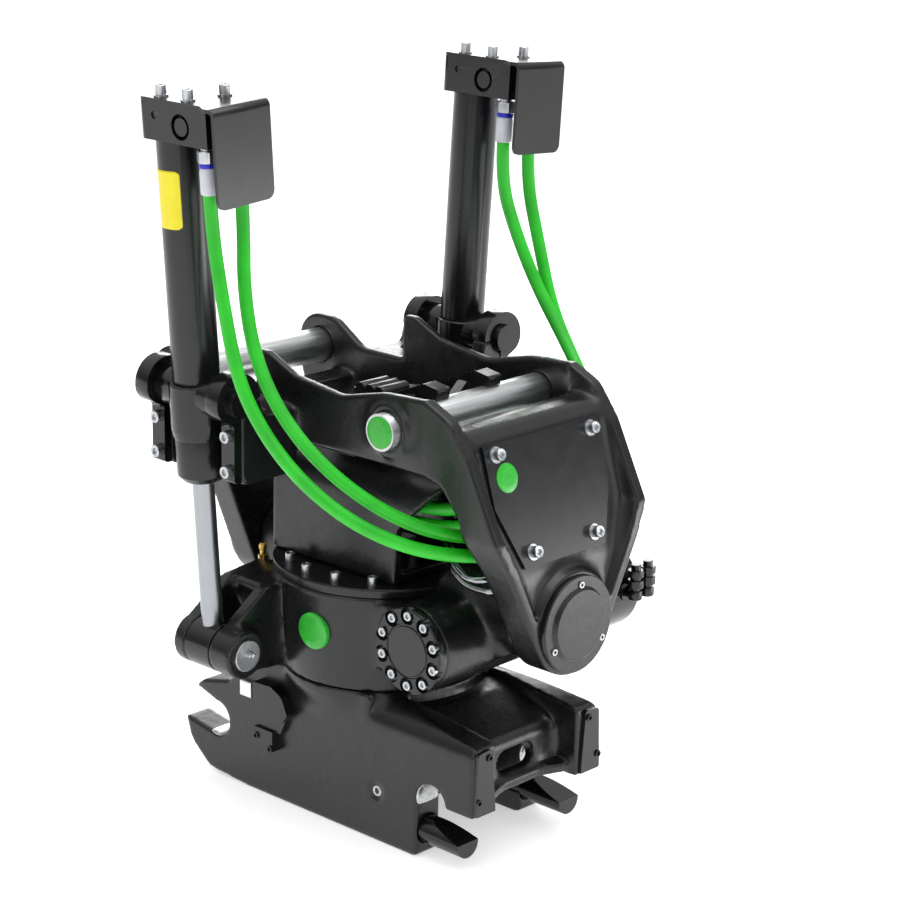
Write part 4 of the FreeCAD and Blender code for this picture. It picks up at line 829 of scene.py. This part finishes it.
class SmallPartsOperator(bpy.types.Operator):
    """Green discs, breather, nipples and small screws"""

    bl_idname = "rotator.small_parts"
    bl_label = "Small parts"

    def execute(self, context):
        self.discs()
        self.breather()
        self.nipples()
        self.axle_cap_screws()
        self.coupler_screws()
        self.latch_nubs()
        return {"FINISHED"}

    def discs(self):
        """Plain green discs on the housing, the front cover and the front pin's ends."""
        low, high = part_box("front_upper_pin")
        pin_ends = [((FRONT_PIN_X, y, FRONT_PIN_Z), (0, math.copysign(1, y), 0))
                    for y in (low[1], high[1])]
        shapes = {
            "housing_disc": (0.0262, 0.0034, [HOUSING_DISC], "rotor_housing_body"),
            "cover_disc": (0.0195, 0.0016, [COVER_DISC], "upper_bracket"),
            "pin_discs": (0.0215, 0.0022, pin_ends, "upper_bracket"),
        }
        for name, (radius, height, places, body) in shapes.items():
            self.put(name, self.dome(radius, height), places, "badge", body, "green_hose")

    def breather(self):
        """A brass breather with a hexagon foot, on top of the housing."""
        foot = hexagon(0.0062)
        shape = lathe([(foot, 0), (foot, 0.006), (0.0042, 0.0068), (0.0042, 0.014),
                       (0.0058, 0.015), (0.0058, 0.021), (0.0035, 0.0235)], 36)
        self.put("breather", shape, [BREATHER_SEAT], "brass", "rotor_housing_body", "bronze")

    def nipples(self):
        """A grease nipple on the front end of each rod pin."""
        nut = hexagon(0.0045)
        shape = lathe([(0.0062, 0), (0.0062, 0.003), (nut, 0.0032), (nut, 0.007),
                       (0.0028, 0.0076), (0.0026, 0.010), (0.0034, 0.0115),
                       (0.0022, 0.0138)], 36)
        sunk = 0.0003
        places = []
        # A pin's solid is in two lengths, one each side of the rod eye
        for points in islands("rod_pins"):
            front = max(point.x for point in points)
            centre = sum(points, Vector()) / len(points)
            if centre.x > trunnion("left").x:
                places.append(((front - sunk, centre.y, centre.z), (1, 0, 0)))
        self.put("pin_nipples", shape, places, "zinc", "rotor_housing_body", "zinc")

    def axle_cap_screws(self):
        """Three small screws round the front axle cap."""
        places = []
        for angle in map(math.radians, AXLE_CAP_SCREW_ANGLES):
            y = AXLE_CAP_SCREW_CIRCLE * math.cos(angle)
            z = TILT_AXIS.z + AXLE_CAP_SCREW_CIRCLE * math.sin(angle)
            places.append(((AXLE_CAP_FACE_X, y, z), (1, 0, 0)))
        self.put("axle_cap_screws", socket_screw(0.0048, 0.0028, 0.0022), places, "zinc",
                 "upper_bracket", "zinc")

    def coupler_screws(self):
        """Black screws on the coupler's front face and latch blocks."""
        face = [((COUPLER_FACE_X, sign * y, z), (1, 0, 0)) for sign in SIDES.values()
                for y, z in COUPLER_FACE_SCREWS_YZ]
        latch = [((x, sign * LATCH_FACE_Y, z), (0, sign, 0)) for sign in SIDES.values()
                 for x, z in LATCH_SCREWS_XZ]
        self.put("coupler_screws", socket_screw(0.0052, 0.003, 0.0026), face + latch, "gloss",
                 "lower_coupler", "black_gloss")

    def latch_nubs(self):
        """Square steel nubs that stand out of the coupler's sides."""
        square, chamfered = hexagon(0.0115, 4), hexagon(0.0103, 4)
        shape = lathe([(square, -0.004), (square, 0.006), (chamfered, 0.0072)], 48)
        places = [((LATCH_NUB_X, sign * LATCH_NUB_Y, LATCH_NUB_Z), (0, sign, 0))
                  for sign in SIDES.values()]
        self.put("latch_nubs", shape, places, "milled", "lower_coupler", "bare_steel")

    @staticmethod
    def dome(radius, height):
        """A slightly crowned disc with a rounded rim."""
        return lathe([(radius, -0.004), (radius, height * 0.55),
                      (radius - 0.0006, height * 0.85), (radius - 0.0016, height),
                      (radius * 0.5, height * 1.12)], 64)

    @staticmethod
    def put(name, shape, places, finish, body, slot):
        """Stand one shape at its places, with its finish and its body. The slot is not used."""
        piece = stand(name, shape, [axis_frame(*place) for place in places],
                      MATERIALS[finish], body)


# Control points of each hose, in metres, from its fitting to its port
HOSES = {
    "left_outer": [
        (-0.019, -0.30383, 0.91347), (-0.019, -0.29973, 0.85361), (0.006, -0.303, 0.760),
        (0.032, -0.304, 0.672), (0.078, -0.299, 0.606), (0.134, -0.283, 0.550),
        (0.190, -0.250, 0.504), (0.238, -0.196, 0.470), (0.270, -0.126, 0.450),
        (0.284, -0.043, 0.441), (0.254, 0.021, 0.438), (0.195, 0.058, 0.430),
        (0.082, 0.058, 0.430),
    ],
    "left_inner": [
        (-0.019, -0.24996, 0.91717), (-0.019, -0.24586, 0.85731), (-0.002, -0.262, 0.780),
        (0.030, -0.274, 0.700), (0.078, -0.275, 0.634), (0.132, -0.260, 0.578),
        (0.184, -0.224, 0.528), (0.230, -0.172, 0.490), (0.260, -0.110, 0.470),
        (0.268, -0.042, 0.463), (0.238, 0.021, 0.461), (0.179, 0.058, 0.454),
        (0.082, 0.058, 0.454),
    ],
    "right_outer": [
        (-0.019, 0.30383, 0.91347), (-0.019, 0.29973, 0.85361), (0.006, 0.303, 0.760),
        (0.032, 0.304, 0.672), (0.078, 0.299, 0.608), (0.134, 0.283, 0.556),
        (0.190, 0.250, 0.520), (0.238, 0.200, 0.500), (0.272, 0.134, 0.494),
        (0.280, 0.047, 0.491), (0.248, -0.017, 0.484), (0.182, -0.058, 0.446),
        (0.082, -0.058, 0.446),
    ],
    "right_inner": [
        (-0.019, 0.24996, 0.91717), (-0.019, 0.24586, 0.85731), (-0.002, 0.262, 0.780),
        (0.030, 0.274, 0.706), (0.078, 0.275, 0.644), (0.134, 0.258, 0.594),
        (0.186, 0.222, 0.554), (0.228, 0.172, 0.530), (0.256, 0.112, 0.519),
        (0.264, 0.040, 0.512), (0.232, -0.022, 0.501), (0.170, -0.058, 0.470),
        (0.082, -0.058, 0.470),
    ],
}


# The control point where a hose's two lengths meet, and for each length two control
# points that are handed on as its bend and not used
HOSE_CLIP = 6
UPPER_BEND = (2, 5)
LOWER_BEND = (7, 10)


def nurbs_line(points, per_run=10):
    """Points along the smooth line that these control points draw."""
    curve = bpy.data.curves.new("route", "CURVE")
    curve.dimensions = "3D"
    spline = curve.splines.new("NURBS")
    spline.points.add(len(points) - 1)
    for place, point in zip(spline.points, points):
        place.co = (*point, 1)
    spline.order_u = 3
    spline.use_endpoint_u = True
    spline.resolution_u = per_run
    route = link_object("route", curve)
    bpy.context.view_layer.update()
    mesh = bpy.data.meshes.new_from_object(route.evaluated_get(
        bpy.context.evaluated_depsgraph_get()))
    line = [v.co.copy() for v in mesh.vertices]
    bpy.data.objects.remove(route)
    bpy.data.meshes.remove(mesh)
    return line


def tube(line, radius, sides):
    """Vertices and faces of a tube along a line, closed at both ends."""
    vertices, faces = [], []
    way = (line[1] - line[0]).normalized()
    side = way.orthogonal().normalized()
    for i, point in enumerate(line):
        after, before = line[min(i + 1, len(line) - 1)], line[max(i - 1, 0)]
        new_way = (after - before).normalized()
        side = way.rotation_difference(new_way) @ side
        way = new_way
        up = way.cross(side)
        for k in range(sides):
            angle = 2 * math.pi * k / sides
            vertices.append(point + radius * (math.cos(angle) * side + math.sin(angle) * up))
    for i in range(len(line) - 1):
        for k in range(sides):
            a, b = i * sides + k, i * sides + (k + 1) % sides
            faces.append((a, b, b + sides, a + sides))
    faces.append(tuple(range(sides))[::-1])
    last = (len(line) - 1) * sides
    faces.append(tuple(last + k for k in range(sides)))
    return vertices, faces


class HosesOperator(bpy.types.Operator):
    """Run the four hoses from the valve blocks to the swivel"""

    bl_idname = "rotator.hoses"
    bl_label = "Hoses"

    def execute(self, context):
        hose = chosen("hose")
        for name, points in HOSES.items():
            line = nurbs_line(points)
            clip = Vector(points[HOSE_CLIP])
            split = min(range(len(line)), key=lambda i: (line[i] - clip).length)
            cylinder = name.split("_")[0] + "_cylinder"
            start, end = (points[i] for i in UPPER_BEND)
            self.length(hose, name, "upper", line[:split + 1], cylinder, "upper_bracket",
                        start, end)
            start, end = (points[i] for i in LOWER_BEND)
            self.length(hose, name, "lower", line[split:], "upper_bracket",
                        "rotor_housing_body", start, end)
        return {"FINISHED"}

    @staticmethod
    def length(hose, name, part, line, before, after, start, end):
        """One length of a hose, between the two bodies that it joins. The bodies, start and end
        are not used.
        """
        vertices, faces = tube(line, hose.diameter / 2, hose.sides)
        piece = link_mesh(f"{name}_hose_{part}", vertices, faces, MATERIALS["hose"], None)
        # Only the rims of its flat ends stay crisp
        sharpen(piece, 60)
        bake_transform(piece)
        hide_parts(name + "_hose")


# Each softbox: where it stands, what it faces, its width in metres and its power in watts
SOFTBOXES = {
    "overhead_softbox": ((0.4, 0.1, 3.2), (0, 0, 0.5), 2.2, 32),
    "left_softbox": ((0.2, -3.4, 1.5), (0, 0, 0.5), 1.4, 9),
    "front_softbox": ((3.6, 0.9, 1.3), (0, 0, 0.5), 1.6, 10),
    "right_softbox": ((1.25, 0.95, 0.3), (0.31, 0, 0.48), 0.55, 4.5),
    "back_softbox": ((-2.9, 3.0, 1.9), (0, 0, 0.7), 1.9, 50),
}

# Where the camera stands, the way it looks, and how far its frame is shifted
CAMERA_PLACE = (2.4796, -2.5140, 1.5502)
CAMERA_WAY = (-0.65825, 0.69819, -0.28148)
CAMERA_SHIFT = (0.0069, -0.0011)

WHITE = (1, 1, 1, 1)


class StageOperator(bpy.types.Operator):
    """Set the floor, the soft light and the camera"""

    bl_idname = "rotator.stage"
    bl_label = "Stage"

    def execute(self, context):
        stage = chosen("stage")
        scene = context.scene
        self.floor(stage)
        for name, (place, target, size, power) in SOFTBOXES.items():
            self.light(name, place, target, size, power)
        world = bpy.data.worlds.new("studio")
        world.use_nodes = True
        self.sky(world.node_tree)
        scene.world = world
        scene.view_settings.view_transform = "Standard"
        self.camera(scene, stage)
        return {"FINISHED"}

    @staticmethod
    def floor(stage):
        """A wide pale floor, a hair below the part."""
        material = bpy.data.materials.new("pale_floor")
        material.use_nodes = True
        sockets = material.node_tree.nodes["Principled BSDF"].inputs
        sockets["Base Color"].default_value = linear(stage.floor_colour)
        sockets["Roughness"].default_value = 0.7
        # The photograph's paper is lit on its own, so it stays white far behind the part
        sockets["Emission Color"].default_value = WHITE
        sockets["Emission Strength"].default_value = 0.5
        half, gap = 30, 0.0005
        mesh = bpy.data.meshes.new("floor")
        mesh.from_pydata([(-half, -half, 0), (half, -half, 0), (half, half, 0),
                          (-half, half, 0)], [], [(0, 1, 2, 3)])
        mesh.materials.append(material)
        floor = link_object("floor", mesh)
        floor.location.z = -gap

    @staticmethod
    def sky(tree):
        """A studio that is dim round the walls and bright overhead."""
        background = tree.nodes["Background"]
        background.inputs["Color"].default_value = WHITE
        place = add_node(tree, "ShaderNodeTexCoord")
        split = add_node(tree, "ShaderNodeSeparateXYZ", links={0: place.outputs["Generated"]})
        glow = add_node(tree, "ShaderNodeMapRange",
                        {"From Min": 0.25, "From Max": 0.75, "To Min": 0.3, "To Max": 1.0},
                        {"Value": split.outputs["Z"]})
        tree.links.new(glow.outputs["Result"], background.inputs["Strength"])

    @staticmethod
    def light(name, place, target, size, power):
        """A square softbox that faces a target and that the camera doesn't see."""
        data = bpy.data.lights.new(name, "AREA")
        data.shape = "SQUARE"
        data.size = size
        data.energy = power
        light = link_object(name, data)
        light.location = place
        light.visible_camera = False
        way = Vector(target) - Vector(place)
        light.rotation_mode = "QUATERNION"
        light.rotation_quaternion = way.to_track_quat("-Z", "Y")

    @staticmethod
    def camera(scene, stage):
        """The photograph's view: from the front left and a little above."""
        data = bpy.data.cameras.new("camera")
        data.lens = stage.focal_mm
        data.sensor_width = 36
        data.shift_x, data.shift_y = CAMERA_SHIFT
        data.clip_end = 100
        camera = link_object("camera", data)
        camera.location = CAMERA_PLACE
        camera.rotation_mode = "QUATERNION"
        roll = Quaternion((0, 0, 1), math.radians(stage.roll_deg))
        camera.rotation_quaternion = Vector(CAMERA_WAY).to_track_quat("-Z", "Y") @ roll
        scene.camera = camera


OPERATORS = (
    MaterialsOperator,
    CastingsOperator,
    PlatesOperator,
    ScrewsOperator,
    CylindersOperator,
    SmallPartsOperator,
    HosesOperator,
    StageOperator,
)


class RotatorPanel(bpy.types.Panel):
    """Sizes and steps of the tilt rotator"""

    bl_idname = "VIEW3D_PT_rotator"
    bl_label = "Tilt Rotator"
    bl_space_type = "VIEW_3D"
    bl_region_type = "UI"
    bl_category = "Tilt Rotator"

    def draw(self, context):
        layout = self.layout
        for group, kind in GROUPS.items():
            box = layout.box()
            box.label(text=kind.__doc__)
            for name in kind.__annotations__:
                box.prop(chosen(group), name)
        for operator in OPERATORS:
            layout.operator(operator.bl_idname)


CLASSES = (*GROUPS.values(), *OPERATORS, RotatorPanel)


def register():
    for cls in CLASSES:
        bpy.utils.register_class(cls)
    for group, kind in GROUPS.items():
        setattr(bpy.types.Scene, "rotator_" + group, bpy.props.PointerProperty(type=kind))


def unregister():
    for group in GROUPS:
        delattr(bpy.types.Scene, "rotator_" + group)
    for cls in reversed(CLASSES):
        bpy.utils.unregister_class(cls)


def main():
    register()
    for operator in OPERATORS:
        area, step = operator.bl_idname.split(".")
        getattr(getattr(bpy.ops, area), step)()


if __name__ == "__main__":
    main()
